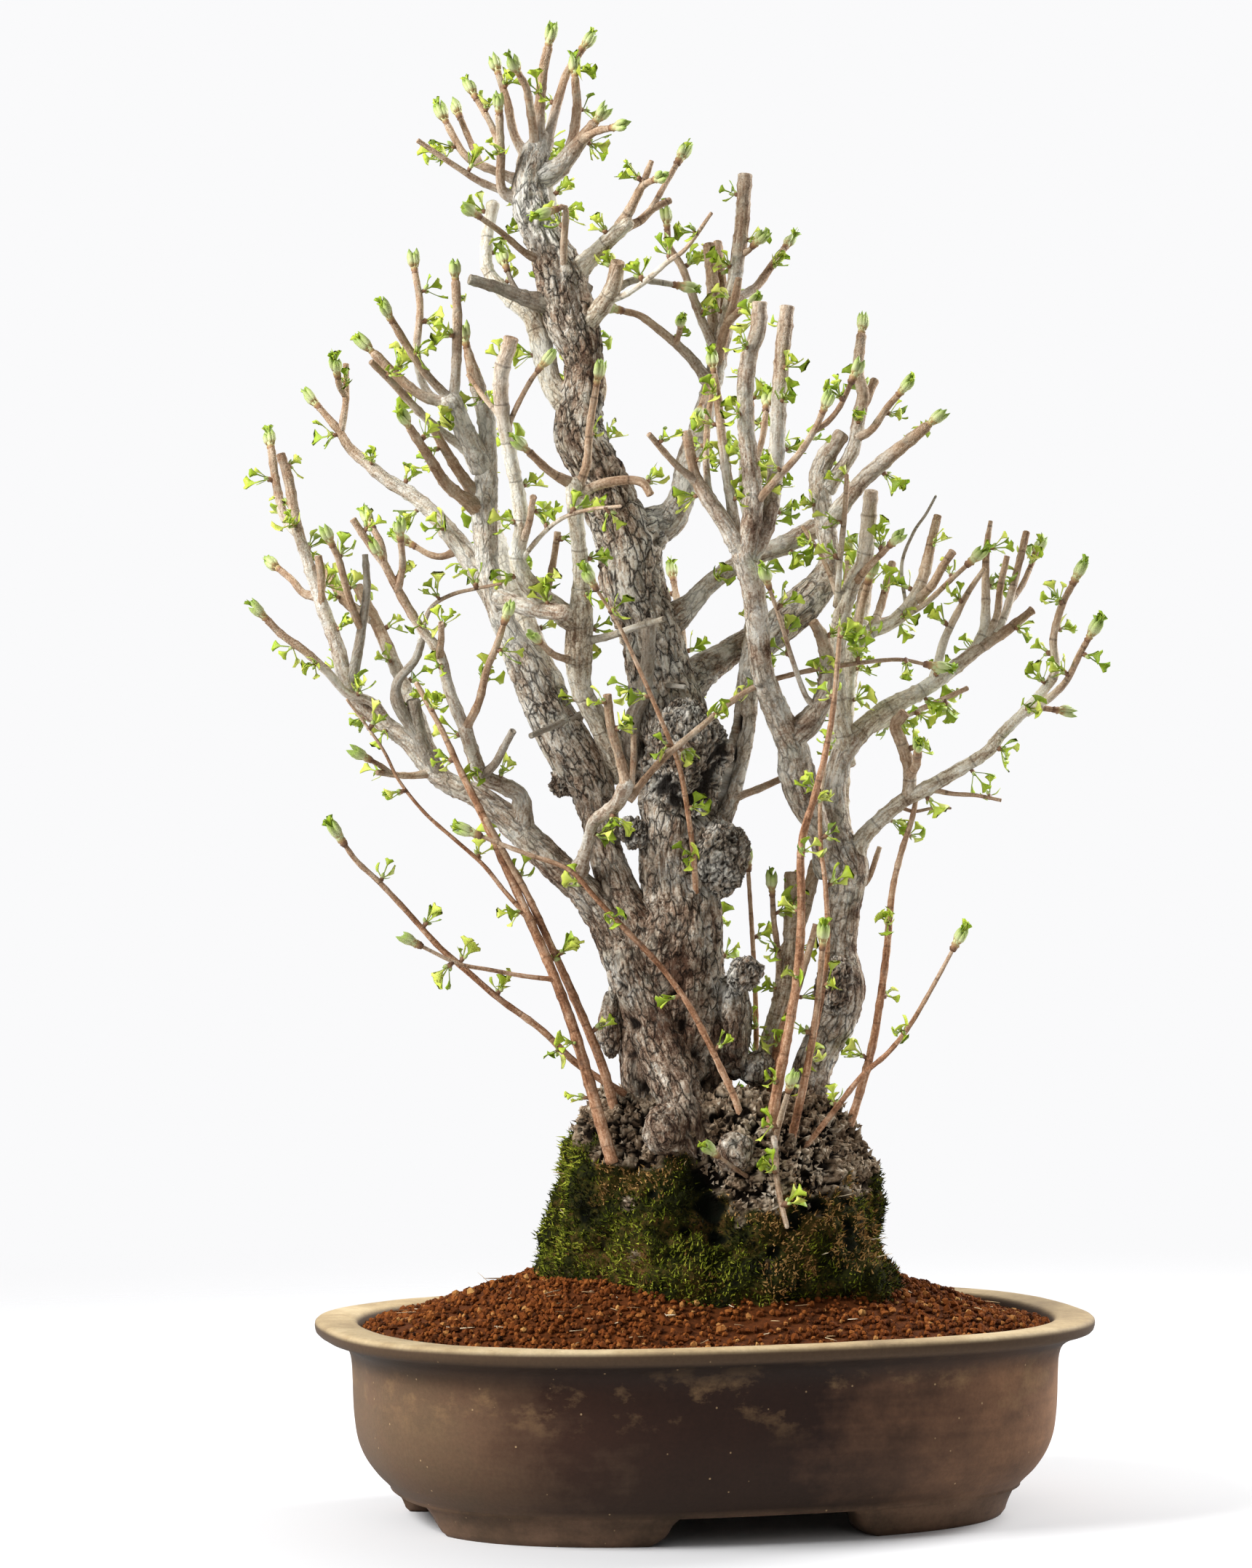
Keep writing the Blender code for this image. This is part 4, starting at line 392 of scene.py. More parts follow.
def even_steps(points, step):
    """A Catmull-Rom curve through the rows of points, resampled at an even spacing."""
    before = np.vstack([2 * points[:1] - points[1:2], points, 2 * points[-1:] - points[-2:-1]])
    share = np.linspace(0.0, 1.0, CURVE_STEPS, endpoint=False)[:, None, None]
    a, b, c, d = before[:-3], before[1:-2], before[2:-1], before[3:]
    fine = 0.5 * (2 * b + (c - a) * share + (2 * a - 5 * b + 4 * c - d) * share ** 2
                  + (3 * b - a - 3 * c + d) * share ** 3)
    fine = np.vstack([fine.transpose(1, 0, 2).reshape(-1, points.shape[1]), points[-1:]])
    length = lengths(fine[:, :3])
    count = max(int(length[-1] / step) + 1, 4)
    along = np.linspace(0.0, length[-1], count)
    return np.stack([np.interp(along, length, column) for column in fine.T], axis=-1), along


def depth_at(route, across, up):
    """Depth and radius of a drawn route where it passes closest to a point of the elevation."""
    start, run = route[:-1], np.diff(route, axis=0)
    off = np.array([across, up]) - start[:, :2]
    share = np.clip((off * run[:, :2]).sum(1) / (run[:, :2] ** 2).sum(1), 0.0, 1.0)
    gap = np.linalg.norm(off - run[:, :2] * share[:, None], axis=1)
    at = gap.argmin()
    return start[at, 2] + run[at, 2] * share[at], start[at, 3] + run[at, 3] * share[at]


routes = {"trunk": TRUNK, "flank": FLANK}
solid_of = {"trunk": "trunk", "flank": "trunk"}
collar = {"trunk": 0.0, "flank": 0.0}
tips = {"trunk": THIN, "flank": JOIN}
waiting = list(branches)
while waiting:
    place_in_list = next(k for k, row in enumerate(waiting) if row[2] in routes or row[2] == "-")
    solid, name, parent, depths, tip, radii, points = waiting.pop(place_in_list)
    found, width = depth_at(routes[parent], *points[0]) if parent != "-" else (0.0, 0.0)
    depths, radii, run = numbers(depths)[0], numbers(radii)[0], lengths(points)
    first, last = depths if len(depths) == 2 else (found, depths[0])
    radius = np.interp(np.linspace(0, 1, len(points)), np.linspace(0, 1, len(radii)), radii)
    routes[name] = np.column_stack([points, first + (last - first) * run / run[-1], radius])
    solid_of[name], collar[name], tips[name] = solid, width, tip
print("routes:", len(routes), "metres of wood:", round(sum(lengths(r[:, :2])[-1] for r in routes.values()) / 1e3, 1))

# %% [markdown]
# ## Noise for natural surfaces
#
# Bark, moss and clay all come from two kinds of noise. Value noise mixes random numbers held at
# the corners of a grid, for soft swellings. Cell noise measures the distance to the nearest and
# second nearest of scattered points: their difference is zero along the borders of the cells,
# which is just where bark splits. Both take whole arrays of points.

# %% Value noise and cell noise
def scatter(cell, salt):
    """A repeatable number from 0 to 1 for each whole-number cell, by mixing its bits."""
    a, b, c = np.moveaxis(cell.astype(np.int64), -1, 0)
    mixed = (a * 73856093) ^ (b * 19349663) ^ (c * 83492791)
    mixed = (mixed ^ (salt * 2654435761)) & 0xFFFFFFFF
    for _ in range(2):
        mixed = ((mixed ^ (mixed >> 16)) * 0x45D9F3B) & 0xFFFFFFFF
    return ((mixed ^ (mixed >> 16)) & 0xFFFFFF) / 0xFFFFFF


def swell(points, size, salt=0):
    """Value noise from -1 to 1: the eight corners' numbers, mixed by a smooth share of each."""
    scaled = points / size
    low = np.floor(scaled)
    share = scaled - low
    share = share * share * (3.0 - 2.0 * share)
    total = np.zeros(points.shape[:-1])
    for corner in np.ndindex(2, 2, 2):
        weight = np.prod(np.where(corner, share, 1.0 - share), axis=-1)
        total = total + weight * scatter(low + np.array(corner), salt)
    return total * 2.0 - 1.0


def cells(points, size, salt=0):
    """Distances, in cells, to the nearest two of points scattered one to a cell, and a number by cell."""
    scaled = points / size
    low = np.floor(scaled)
    near = np.full(points.shape[:-1], 9.0)
    second, number = near.copy(), near.copy()
    for corner in np.ndindex(3, 3, 3):
        cell = low + np.array(corner) - 1.0
        middle = cell + np.stack([scatter(cell, salt + axis) for axis in (1, 2, 3)], axis=-1)
        gap = np.linalg.norm(scaled - middle, axis=-1)
        second = np.minimum(second, np.maximum(gap, near))
        number = np.where(gap < near, scatter(cell, salt + 4), number)
        near = np.minimum(near, gap)
    return near, second, number


def ease(value, low, high):
    """A smooth step from 0 at low to 1 at high."""
    share = np.clip((value - low) / (high - low), 0.0, 1.0)
    return share * share * (3.0 - 2.0 * share)


print("noise check:", swell(np.array([[1.0, 2.0, 3.0]]), 2.5).round(3))

# %% [markdown]
# ## Gathering surfaces into pieces
#
# A tree has hundreds of small surfaces, and one object for each would be slow and hard to find
# one's way in. So the surfaces of one solid are gathered, as arrays of points, faces and a few
# values at each point, and become one mesh. The values are named for what they say about the
# surface, such as how deep a point lies in a crack, and the materials read them by name.

# %% Gather surfaces and make meshes
def put(name, data):
    """An object with these data, linked to the scene."""
    made = bpy.data.objects.new(name, data)
    bpy.context.scene.collection.objects.link(made)
    return made


class Gather:
    """Points, faces and values of many surfaces, kept as arrays until they become one mesh."""

    def __init__(self):
        self.points, self.faces, self.values, self.count = [], [], {}, 0

    def add(self, points, faces=None, **values):
        """Adds a surface with its values by name: closed tubes, unless an array of faces is given."""
        faces = tube_faces(points) if faces is None else [faces]
        points = points.reshape(-1, 3)
        self.points.append(points)
        self.faces += [group + self.count for group in faces]
        for name, value in values.items():
            full = np.asarray(value, float).reshape(-1)
            self.values.setdefault(name, []).append(np.repeat(full, len(points) // len(full)))
        self.count += len(points)

    def piece(self, name, material, solids=(), smooth=True):
        """Makes the mesh and the object, lets it ride and hides the solids it stands for."""
        mesh = bpy.data.meshes.new(name)
        faces = [face for group in self.faces for face in group.tolist()]
        mesh.from_pydata(np.concatenate(self.points) * MM, [], faces, not smooth)
        for value_name, rows in self.values.items():
            layer = mesh.attributes.new(value_name, "FLOAT", "POINT")
            layer.data.foreach_set("value", np.concatenate(rows).astype(np.float32))
        mesh.validate()
        mesh.materials.append(material)
        made = put(name, mesh)
        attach(made, "root")
        if solids:
            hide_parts(*solids)
        totals[name] = sum(len(face) - 2 for face in faces)
        return made


def tube_faces(grid):
    """Faces of a closed tube, or of each tube in an array of them: its wrapped grid and two flat ends."""
    rows, columns = grid.shape[-3:-1]
    corner = np.arange(rows * columns).reshape(rows, columns)
    after = np.roll(corner, -1, axis=1)
    sides = np.stack([corner[:-1], after[:-1], after[1:], corner[1:]], -1).reshape(-1, 4)
    shift = np.arange(0, grid.size // 3, rows * columns)[:, None, None]
    return [(group + shift).reshape(-1, group.shape[1]) for group in (sides, corner[:1, ::-1], corner[-1:])]


totals = {}
print("a short tube has", sum(len(group) for group in tube_faces(np.zeros((4, 8, 3)))), "faces")

# %% [markdown]
# ## Bark as a surface round a path
#
# A limb is a tube whose radius is disturbed. `round_path` gives each point a direction across
# the path and one round it. Growth makes five things that the eye reads as old wood: slow
# swellings, a collar where a limb leaves its parent, rings at each year's bud scars, wrinkles
# across young wood, and furrows along old wood that open because the bark can't stretch. All are
# added to the radius, and the depth of the furrow is kept as a value, so that the material can
# darken just those places.

# %% Directions round a path
def around(count):
    """Angles of a full turn in even steps."""
    return np.linspace(0, 2 * np.pi, count, endpoint=False)


def circle(turn, first, second, radius=1.0):
    """Radius times: the cosine of the turn along the first direction plus its sine along the second."""
    return (radius * np.cos(turn))[..., None] * first + (radius * np.sin(turn))[..., None] * second


def unit(vectors):
    """Vectors divided by their lengths."""
    return vectors / np.maximum(np.linalg.norm(vectors, axis=-1, keepdims=True), 1e-9)


def round_path(points):
    """Unit directions along, across and round a path; across is a fixed line less its share along."""
    along = unit(np.gradient(points, axis=0))
    lines = np.array([BACKWARDS, [0.0, 0.0, 1.0], [BACKWARDS[1], -BACKWARDS[0], 0.0]])
    fixed = lines[np.abs(along @ lines.T).max(axis=0).argmin()]
    across = unit(fixed - along * (along @ fixed)[:, None])
    return along, across, np.cross(along, across)


# How a limb closes: rings as shares of its last radius, across and along
CONE = numbers("0.92,0.35 0.7,0.75 0.35,0.98 0.04,1.05")
END_PROFILES = {
    CUT: numbers("1.04,0.3 1,0.5 0.86,0.62 0.66,0.5 0.3,0.34 0.04,0.3"),
    JOIN: numbers("0.9,0.4 0.5,0.8 0.05,1"), THIN: CONE, BUD: CONE,
}
SHOOT_SLIMMING = 0.86
RED_BROWN = ("cross_shoot", "elbow_cut", "elbow_side", "flame_shoot", "post_shoot", "tall_side")


def growth(name, along, radius):
    """1 on last year's tan wood near a tip, 0 on older wood and -1 on dark weathered sticks."""
    if "dark" in name or "grey" in name or name in ("mid_dead", "middle_stick", "burl_twig"):
        return along * 0.0 - 1.0
    if "red" in name or name in RED_BROWN:
        return along * 0.0 + 1.0
    return ease(along, along[-1] - 75.0, along[-1] - 20.0) * (tips[name] != JOIN) * ease(-radius, -5.5, -3.8)


def limb_path(name, step):
    """A branch's route in the frame, with its radii, at even steps, and the length up to each."""
    route = routes[name]
    return even_steps(np.column_stack([place(*route[:, :3].T), route[:, 3]]), step)


def bark_grid(name, step, sides):
    """A limb's rings: its drawn radius, times the collar, with the tip's closing rings added."""
    path, along = limb_path(name, step)
    radius = path[:, 3] * (SHOOT_SLIMMING if solid_of[name].startswith("shoot") else 1.0)
    if collar[name] > 0.0:
        flare = 0.32 * np.exp(-np.maximum(along - 0.9 * collar[name], 0.0) / (1.1 * radius))
        radius = np.minimum(radius * (1.0 + flare), np.maximum(radius, 0.9 * collar[name]))
    ahead, across, over = round_path(path[:, :3])
    closing = END_PROFILES[tips[name]]
    young = growth(name, along, path[:, 3])
    points = np.vstack([path[:, :3], path[-1, :3] + ahead[-1] * radius[-1] * closing[:, 1:]])
    along = np.concatenate([along, along[-1] + radius[-1] * closing[:, 1]])
    radius = np.concatenate([radius, radius[-1] * closing[:, 0]])
    young, across, over = (np.concatenate([rows, np.repeat(rows[-1:], len(closing), axis=0)])
                           for rows in (young, across, over))
    turn = around(sides)
    return points, radius, along, turn, circle(turn, across[:, None], over[:, None]), young


print("rings of the low limb at 3 mm:", len(bark_grid("limb_low", 3.0, 8)[0]))

# %% [markdown]
# ## Furrows, hollows and eyes
#
# Old bark splits into plates, so the furrows are the borders of cell noise. The cells are drawn
# out along the limb, bent by a soft noise, and a second noise closes some borders, because a
# furrow never goes right round a tree; each plate has its own height and tone. Three things are
# listed one by one, since they are part of this tree's life and no rule would find them: hollows,
# where burls and stems have grown together and left a dark gap, eyes, the puckered rings where a
# branch was cut away, and the places where the bark has silvered or stayed dark.
# The hollows are sunk in, and their darkness is painted shade.

# %% Furrows, hollows and eyes
# Hollows, sunk in and darkened with painted shade: across, up, size
HOLLOWS = numbers("""
7,470,8 10,457,8 20,447,9 30,440,10 42,435,11 52,441,12 58,453,12 63,470,10 66,488,8 -5,490,8 2,417,7 4,303,6
9,262,6 56,242,7 46,224,8 50,206,12 53,188,12 57,172,9 118,190,10 127,234,7 94,250,8 33,322,5 37,303,5 43,284,6
50,263,7 -3,326,5 3,283,4
""")
EYES = numbers("""
-58,813,5 -58,799,4 75,332,6 -53,786,4 66,414,4 20,600,5 -3,560,5 -38,528,4 131,300,5 18,540,5 60,280,5 -20,640,5
28,350,6 84,510,4
""")

# Where bark is silvered (above 0) or dark and brown (below 0): across, up, reach, amount
BARK_PATCHES = numbers("""
-51,810,22,0.9 -38,753,24,-1.1 -52,721,12,0.8 -25,706,24,-1.2 -16,640,28,-0.8 34,630,24,0.7 2,580,26,-0.5
-85,610,36,0.7 -60,520,26,0.3 -30,545,16,-1.2 34,530,18,0.2 37,480,15,0.5 26,410,26,0.1 -10,300,14,0.6
24,300,30,-1.2 46,305,10,0.5 67,330,12,0.6 126,295,18,0.4 124,330,12,-0.9 112,545,26,-0.5 95,600,30,-0.2
28,350,20,-0.7 -15,400,22,-0.3 130,400,26,0.5 15,262,12,-0.9 -105,680,50,0.6 25,238,14,-0.9 66,222,12,-0.4
42,236,14,-0.8 56,380,16,0.5 60,325,20,1 59,402,16,0.9
""")


def bell(across, up, u, w, reach):
    """A bell of height 1 round (u, w): e to the minus (distance / reach) squared."""
    return np.exp(-((across - u) ** 2 + (up - w) ** 2) / reach ** 2)


def with_patches(total, across, up, patches):
    """A value on the drawing with the bells of hand-placed patches added to it."""
    for *spot, amount in patches:
        total = total + amount * bell(across, up, *spot)
    return total


def weather_at(at):
    """The sum of the patches' bells, with a soft noise over it."""
    across, up, _ = drawn(at)
    total = 0.55 * swell(at, 16.0, 63) + 0.3 * swell(at, 6.0, 64) + 0.7 * ease(up, 340.0, 560.0) - 0.1
    return with_patches(total, across, up, BARK_PATCHES)


def bend(at, size, salt):
    """Three soft noises as one shift for each point."""
    return np.stack([swell(at, size, salt + k) for k in (1, 2, 3)], -1)


def furrows(place_on, wide, long, salt):
    """Gaps of 0 to 1 along the borders of drawn-out cells, closed here and there; a number by cell."""
    stretched = place_on / np.array([wide, wide, long])
    near, second, number = cells(stretched + 0.35 * bend(stretched, 0.8, salt), 1.0, salt)
    return (1.0 - ease(second - near, 0.03, 0.27)) * ease(swell(stretched, 1.9, salt + 5), -0.5, 0.1), number


def marks(at, facing):
    """Lift in millimetres and darkness near each point facing the viewer: painted shade in the hollows and dark pits
    in the eyes.
    """
    across, up, _ = drawn(at)
    lift, dark = np.zeros(across.shape), np.zeros(across.shape)
    stray = across + 4.5 * swell(at, 7.0, 61), up + 5.5 * swell(at, 7.0, 62)
    # Painted shade: each hollow is sunk and darkened, as shade falls in it.
    for u, w, size in HOLLOWS:
        near = bell(*stray, u, w, size) * facing
        lift, dark = lift - 0.8 * size * near, np.maximum(dark, ease(near, 0.25, 0.8))
    for u, w, size in EYES:
        gap = np.hypot(across - u, up - w) / size
        ring = np.exp(-((gap - 1.0) / 0.28) ** 2) * facing
        pit = np.exp(-(gap / 0.55) ** 2) * facing
        lift, dark = lift + 0.3 * size * ring - 0.35 * size * pit, np.maximum(dark, 0.9 * pit)
    return lift, np.clip(dark, 0.0, 1.0)


print("furrow depth here and there:", furrows(np.array([[1.0, 2, 3], [4, 8, 9]]), 5.0, 15.0, 3)[0].round(2))

# %% Bark relief
RING_GAP = 12.0


def bark_surface(name, step, sides, crack_deep, crack_wide, crack_long, wrinkle):
    """Radius + swellings + rings + wrinkles - furrows, with the values that the materials read."""
    points, radius, along, turn, out, young = bark_grid(name, step, sides)
    girth = radius[:, None] + 0.0 * turn[None]
    run = along[:, None] + 0.0 * girth
    round_about = np.stack([girth * np.cos(turn), girth * np.sin(turn), run], -1)
    salt = len(name) * 7 + ord(name[0])
    place_on = round_about + salt * 37.0
    soft = swell(place_on, 2.2 * np.clip(radius.mean(), 3.0, 22.0), salt)
    fine = swell(place_on * np.array([1.0, 1.0, 1.6]), 2.4, salt + 1)
    crack, plate = furrows(place_on, crack_wide, crack_long, salt)
    crack = crack * ease(girth, 2.6, 12.0)
    ripple = swell(place_on * np.array([0.12, 0.12, 1.0]), 3.0, salt)
    share = (run / RING_GAP + 0.35 * np.sin(run / 31.0 + salt)) % 1.0
    ring = np.exp(-((share - 0.5) / 0.1) ** 2) * ease(-girth, -9.0, -5.0)
    lift = 0.06 * girth * soft + wrinkle * ripple + 0.3 * crack_deep * fine + 0.13 * girth * ring
    lift = (lift + crack_deep * (0.5 * plate - crack)) * ease(girth, 0.3, 2.0)
    at = points[:, None] + out * (girth + lift)[..., None]
    if radius.max() > 9.0:
        # On thick wood the hollows' painted shade joins the crack value.
        extra, dark = marks(at, ease(-out @ BACKWARDS, 0.05, 0.4))
        at, crack = at + out * extra[..., None], np.maximum(0.6 * crack, dark)
    weather = weather_at(at) + 0.8 * (plate - 0.5) * ease(girth, 3.0, 9.0)
    return at, round_about, crack, girth, young[:, None] + 0.0 * girth, weather


def add_bark(gather, name, **look):
    """Puts one limb's surface with its values into a gathering."""
    at, where, crack, girth, young, weather = bark_surface(name, **look)
    gather.add(at, crack=crack, girth=girth, young=young, weather=weather, **limb_axes(where))


def limb_axes(where):
    """The values rx, ry and rz: round and along the limb in millimetres, for the bark's pattern."""
    return dict(zip(("rx", "ry", "rz"), np.moveaxis(where, -1, 0)))


# Mesh step, sides and relief in millimetres, for limbs with the radii of the first row
LOOK_SIZES = (1.0, 2.0, 3.5, 6.0, 10.0, 20.0)
BARK_LOOKS = {
    "step": (3.2, 3.0, 2.5, 2.1, 1.8, 1.7), "sides": (6, 7, 11, 20, 40, 110),
    "crack_deep": (0.0, 0.1, 0.25, 0.55, 1.1, 2.0), "crack_wide": (3.0, 3.0, 4.0, 5.0, 6.0, 7.0),
    "crack_long": (8.0, 8.0, 9.0, 11.0, 13.0, 15.0), "wrinkle": (0.08, 0.12, 0.2, 0.25, 0.2, 0.1),
}


def bark_look(radius):
    """The step, sides and relief for a limb of this radius, by straight steps between the rows."""
    look = {key: float(np.interp(radius, LOOK_SIZES, row)) for key, row in BARK_LOOKS.items()}
    return look | {"sides": int(look["sides"])}


print("look of a 6 mm limb:", bark_look(6.0))

# %% [markdown]
# ## Colours and nodes
#
# Colours are noted as the sRGB hex values that one would pick by eye, and one function turns
# them to the linear numbers that the renderer works with. One small function adds a node with
# its settings, its links and, for a ramp, its colour stops. A few more take up what materials
# repeat: noise by the size of its patches, colours laid over one another, and the last links.

# %% Colour and node helpers
def linear(code):
    """An sRGB hex colour as linear red, green, blue and alpha."""
    value = [int(code[i:i + 2], 16) / 255.0 for i in (1, 3, 5)]
    return [v / 12.92 if v <= 0.04045 else ((v + 0.055) / 1.055) ** 2.4 for v in value] + [1.0]


def plug(made, inputs):
    """Fills a node's inputs, by number or name: a socket is linked and a plain value is set."""
    for key, value in inputs.items():
        socket = made.inputs[key if isinstance(key, int) else key.replace("_", " ")]
        if isinstance(value, bpy.types.NodeSocket):
            made.id_data.links.new(value, socket)
        elif value is not None:
            socket.default_value = value


def add_node(tree, kind, *plugs, stops="", out=0, **named):
    """Adds a node, its operation after its kind, and gives an output; a capital names an input."""
    kind, *operation = kind.split()
    made = tree.nodes.new("ShaderNode" + kind)
    if operation:
        made.operation = operation[0]
    for key in filter(str.islower, named):
        setattr(made, key, named[key])
    plug(made, dict(enumerate(plugs)))
    plug(made, {key: value for key, value in named.items() if not key.islower()})
    stops = stops.split(", ") if stops else []
    while len(stops) > 2 and len(made.color_ramp.elements) < len(stops):
        made.color_ramp.elements.new(0.5)
    for stop, element in zip(stops, made.color_ramp.elements if stops else ()):
        position, code = stop.split()
        element.position, element.color = float(position), linear(code)
    return made.outputs[out]


def new_material(name, roughness, specular, **plain):
    """A node material with its shader's plain numbers, and the function that adds nodes to it."""
    made = bpy.data.materials.new(name)
    made.use_nodes = True
    plug(made.node_tree.nodes["Principled BSDF"],
         {"Roughness": roughness, "Specular IOR Level": specular} | plain)
    return made, functools.partial(add_node, made.node_tree)


def attributes(node, *names):
    """The outputs that read these values of the mesh."""
    return [node("Attribute", attribute_name=name, out="Fac") for name in names]


def noise(node, where, size, detail, rough=0.5):
    """A noise texture with patches of about this size."""
    return node("TexNoise", where, Scale=1 / size, Detail=detail, Roughness=rough)


def layers(node, colour, *over):
    """Colours laid over a first one: each is a share, and a hex colour or a socket."""
    for share, paint in over:
        paint = linear(paint) if isinstance(paint, str) else paint
        colour = node("Mix", share, *[None] * 5, colour, paint, data_type="RGBA", out=2)
    return colour


def finish(made, node, colour, height, strength, deep):
    """Joins the colour, and a bump of this strength and depth in metres, to the material's shader."""
    bump = node("Bump", Height=height, Strength=strength, Distance=deep)
    plug(made.node_tree.nodes["Principled BSDF"], {"Base Color": colour, "Normal": bump})
    return made


print("mid grey in linear light:", [round(v, 3) for v in linear("#808080")])

# %% [markdown]
# ## Bark materials
#
# Ginkgo bark on old wood is cork: dead, dull and beige-grey, with dark broken furrows and a bloom
# of pale lichen. On younger limbs it is smoother, with a dark ring at each year's scars, and the
# last year's growth near the tips is tan. All are dry, so they are rough with a weak shine. The
# pattern follows the limb: the mesh carries where each point is round and along its own limb, in
# millimetres, so that furrows run along the branch whichever way it bends.

# %% Bark material
def furrow_lines(node, where, across, along, width, open_from):
    """Cracks along the borders of drawn-out, bent cells, and the tone of each cell's plate."""
    long = node("Mapping", where, Scale=(1 / across, 1 / across, 1 / along), Location=(along, 3.1, 7.7))
    bend = node("TexNoise", long, Scale=1.5, Detail=3.0, out="Color")
    bent = node("VectorMath MULTIPLY_ADD", bend, (0.9, 0.9, 0.9), long)
    edge = node("TexVoronoi", bent, Scale=1.0, feature="DISTANCE_TO_EDGE")
    line = node("MapRange", edge, 0.0, width, 1.0, 0.0)
    gate = node("TexNoise", long, Scale=0.8, Detail=2.0)
    gate = node("MapRange", gate, open_from, open_from + 0.08)
    plate = node("TexVoronoi", bent, Scale=1.0, out="Color")
    return node("Math MULTIPLY", line, gate), plate


def bark_material(name, plates, gap, crack, crack_size, rings, lichen, relief):
    """Bark colours, darkened along furrows of two sizes, rings and the hollows' painted shade, with tan young wood
    and lichen.
    """
    made, node = new_material(name, 0.85, 0.15)
    rx, ry, rz, depth, girth, young, weather = attributes(
        node, "rx", "ry", "rz", "crack", "girth", "young", "weather")
    where, body = node("CombineXYZ", rx, ry, rz), node("TexCoord", out="Object")
    coarse, plate = furrow_lines(node, where, crack_size, 2.1 * crack_size, 0.14, 0.4)
    fine, _ = furrow_lines(node, where, 0.5 * crack_size, 0.9 * crack_size, 0.13, 0.47)
    grain = noise(node, where, 1.4, 6.0, 0.66)
    streak = node("Mapping", where, Scale=(1.0, 1.0, 0.12))
    streak = noise(node, streak, 1.7, 3.0)
    patch = noise(node, body, 0.028, 4.0, 0.6)
    tone = node("Mix", 0.3, None, node("Mix", 0.5, None, patch, grain), streak)
    tone = node("Math MULTIPLY_ADD", plate, 0.06, tone)
    aged = node("Math MULTIPLY_ADD", weather, 0.07, tone)
    tan = node("ValToRGB", tone, stops="0.41 #7d5d45, 0.53 #b09276, 0.66 #dcc7ae")
    dead = node("Math MULTIPLY", young, -0.6)
    bloom = noise(node, body, 0.016, 6.0, 0.7)
    bloom = node("MapRange", bloom, 0.52, 0.66, 0.0, lichen)
    turns = node("Math MULTIPLY", rz, 1 / RING_GAP)
    turns = node("Math MULTIPLY_ADD", grain, 0.14, turns)
    turns = node("Math PINGPONG", turns, 1.0)
    scar = node("MapRange", turns, 0.9, 1.0, 0.0, rings, interpolation_type="SMOOTHSTEP")
    old = node("MapRange", girth, 2.0, 14.0, 0.15)
    lines = fine
    for value, operation in ((0.6, "MULTIPLY"), (coarse, "MAXIMUM"), (old, "MULTIPLY"), (scar, "MAXIMUM")):
        lines = node("Math " + operation, lines, value)
    # The crack value holds the furrows and the hollows' painted shade, and both take the gap colour.
    dark = node("Math MAXIMUM", lines, node("MapRange", depth, 0.2, 0.95))
    dark = node("Math MULTIPLY", dark, crack)
    colour = layers(node, node("ValToRGB", aged, stops=plates),
                    (young, tan), (dead, "#7b7264"), (bloom, "#c3c6b6"), (dark, gap))
    height = node("Math MULTIPLY_ADD", lines, -1.2, grain)
    return finish(made, node, colour, height, 0.85, relief * MM)


# Name, plate colours, colour and strength of the gaps and the hollows' painted shade, crack size, rings, lichen,
# relief
old_cork, limb_cork, young_bark, shoot_bark = (bark_material(*look) for look in (
    ("old_cork_bark_furrowed", "0.41 #5a4132, 0.49 #9b836e, 0.56 #c6b7a4, 0.65 #e6e1d6",
     "#150d08", 0.97, 5.6, 0.0, 0.3, 1.4),
    ("limb_bark_scarred", "0.41 #6f5845, 0.49 #b09d85, 0.56 #dacfba, 0.65 #efebdf",
     "#32251b", 0.85, 4.2, 0.55, 0.2, 1.0),
    ("young_bark_grey_tan", "0.41 #765f4b, 0.49 #ae9a84, 0.56 #d5c9b5, 0.65 #eae5d9",
     "#46331f", 0.8, 3.0, 0.65, 0.2, 0.5),
    ("shoot_bark_red_brown", "0.41 #62402c, 0.5 #956a4d, 0.57 #b88f70, 0.67 #dcc0a5",
     "#3c2718", 0.6, 2.0, 0.7, 0.1, 0.3)))
print("bark materials:", old_cork.name, limb_cork.name, young_bark.name, shoot_bark.name)

# %% [markdown]
# ## The swollen root base
#
# Old ginkgos stand on a mound of fused roots and burls. It is drawn as level ovals, from inside
# the soil up to the trunk, with lobes for the separate roots. Above, it is broken into lumps of
# cork, each covered in loose flakes a few millimetres wide. Below, moss has grown over it in
# cushions, so it is softer and thicker there; the amount of moss is kept at each point.

# %% The root base and the burls
MOUND_FOOT, MOUND_TOP = 98.0, 261.0


def mound_point(up, turn):
    """Ovals by height, times lobes: 1 + 0.045 sin(5 turn + up / 30) + 0.03 sin(9 turn)."""
    flat = np.zeros((len(ROOT_BASE), 2))
    fine, _ = even_steps(np.hstack([ROOT_BASE[:, :1], flat, ROOT_BASE[:, 1:]]), 2.0)
    left, right, deep = (np.interp(up, fine[:, 0], fine[:, k]) for k in (3, 4, 5))
    lobes = 1.0 + 0.045 * np.sin(5 * turn + up / 30.0) + 0.03 * np.sin(9 * turn)
    across = (left + right) / 2 + (right - left) / 2 * lobes * np.cos(turn)
    return place(across, up + 0.0 * turn, deep * lobes * np.sin(turn))


def grid_normals(at):
    """Outward unit normals of a wrapped grid, from the differences between its rows and columns."""
    return unit(np.cross(np.roll(at, -1, axis=1) - np.roll(at, 1, axis=1), np.gradient(at, axis=0)))


def moss_cover(at, normal):
    """Moss from 0 to 1: most below a wavering height, higher at the left, less on steep faces."""
    height = np.interp(drawn(at)[0], [-50, -34, -20, 2, 38, 48, 56, 88, 104, 118, 140, 160],
                       [248, 242, 234, 221, 223, 214, 196, 192, 200, 190, 210, 216])
    height = height + 13.0 * swell(at, 22.0, 71) + 11.0 * swell(at, 8.0, 72)
    return ease(height - at[..., 2] + 8.0 * normal[..., 2], -2.0, 6.0) * ease(-swell(at, 15.0, 73), -0.88, -0.66)


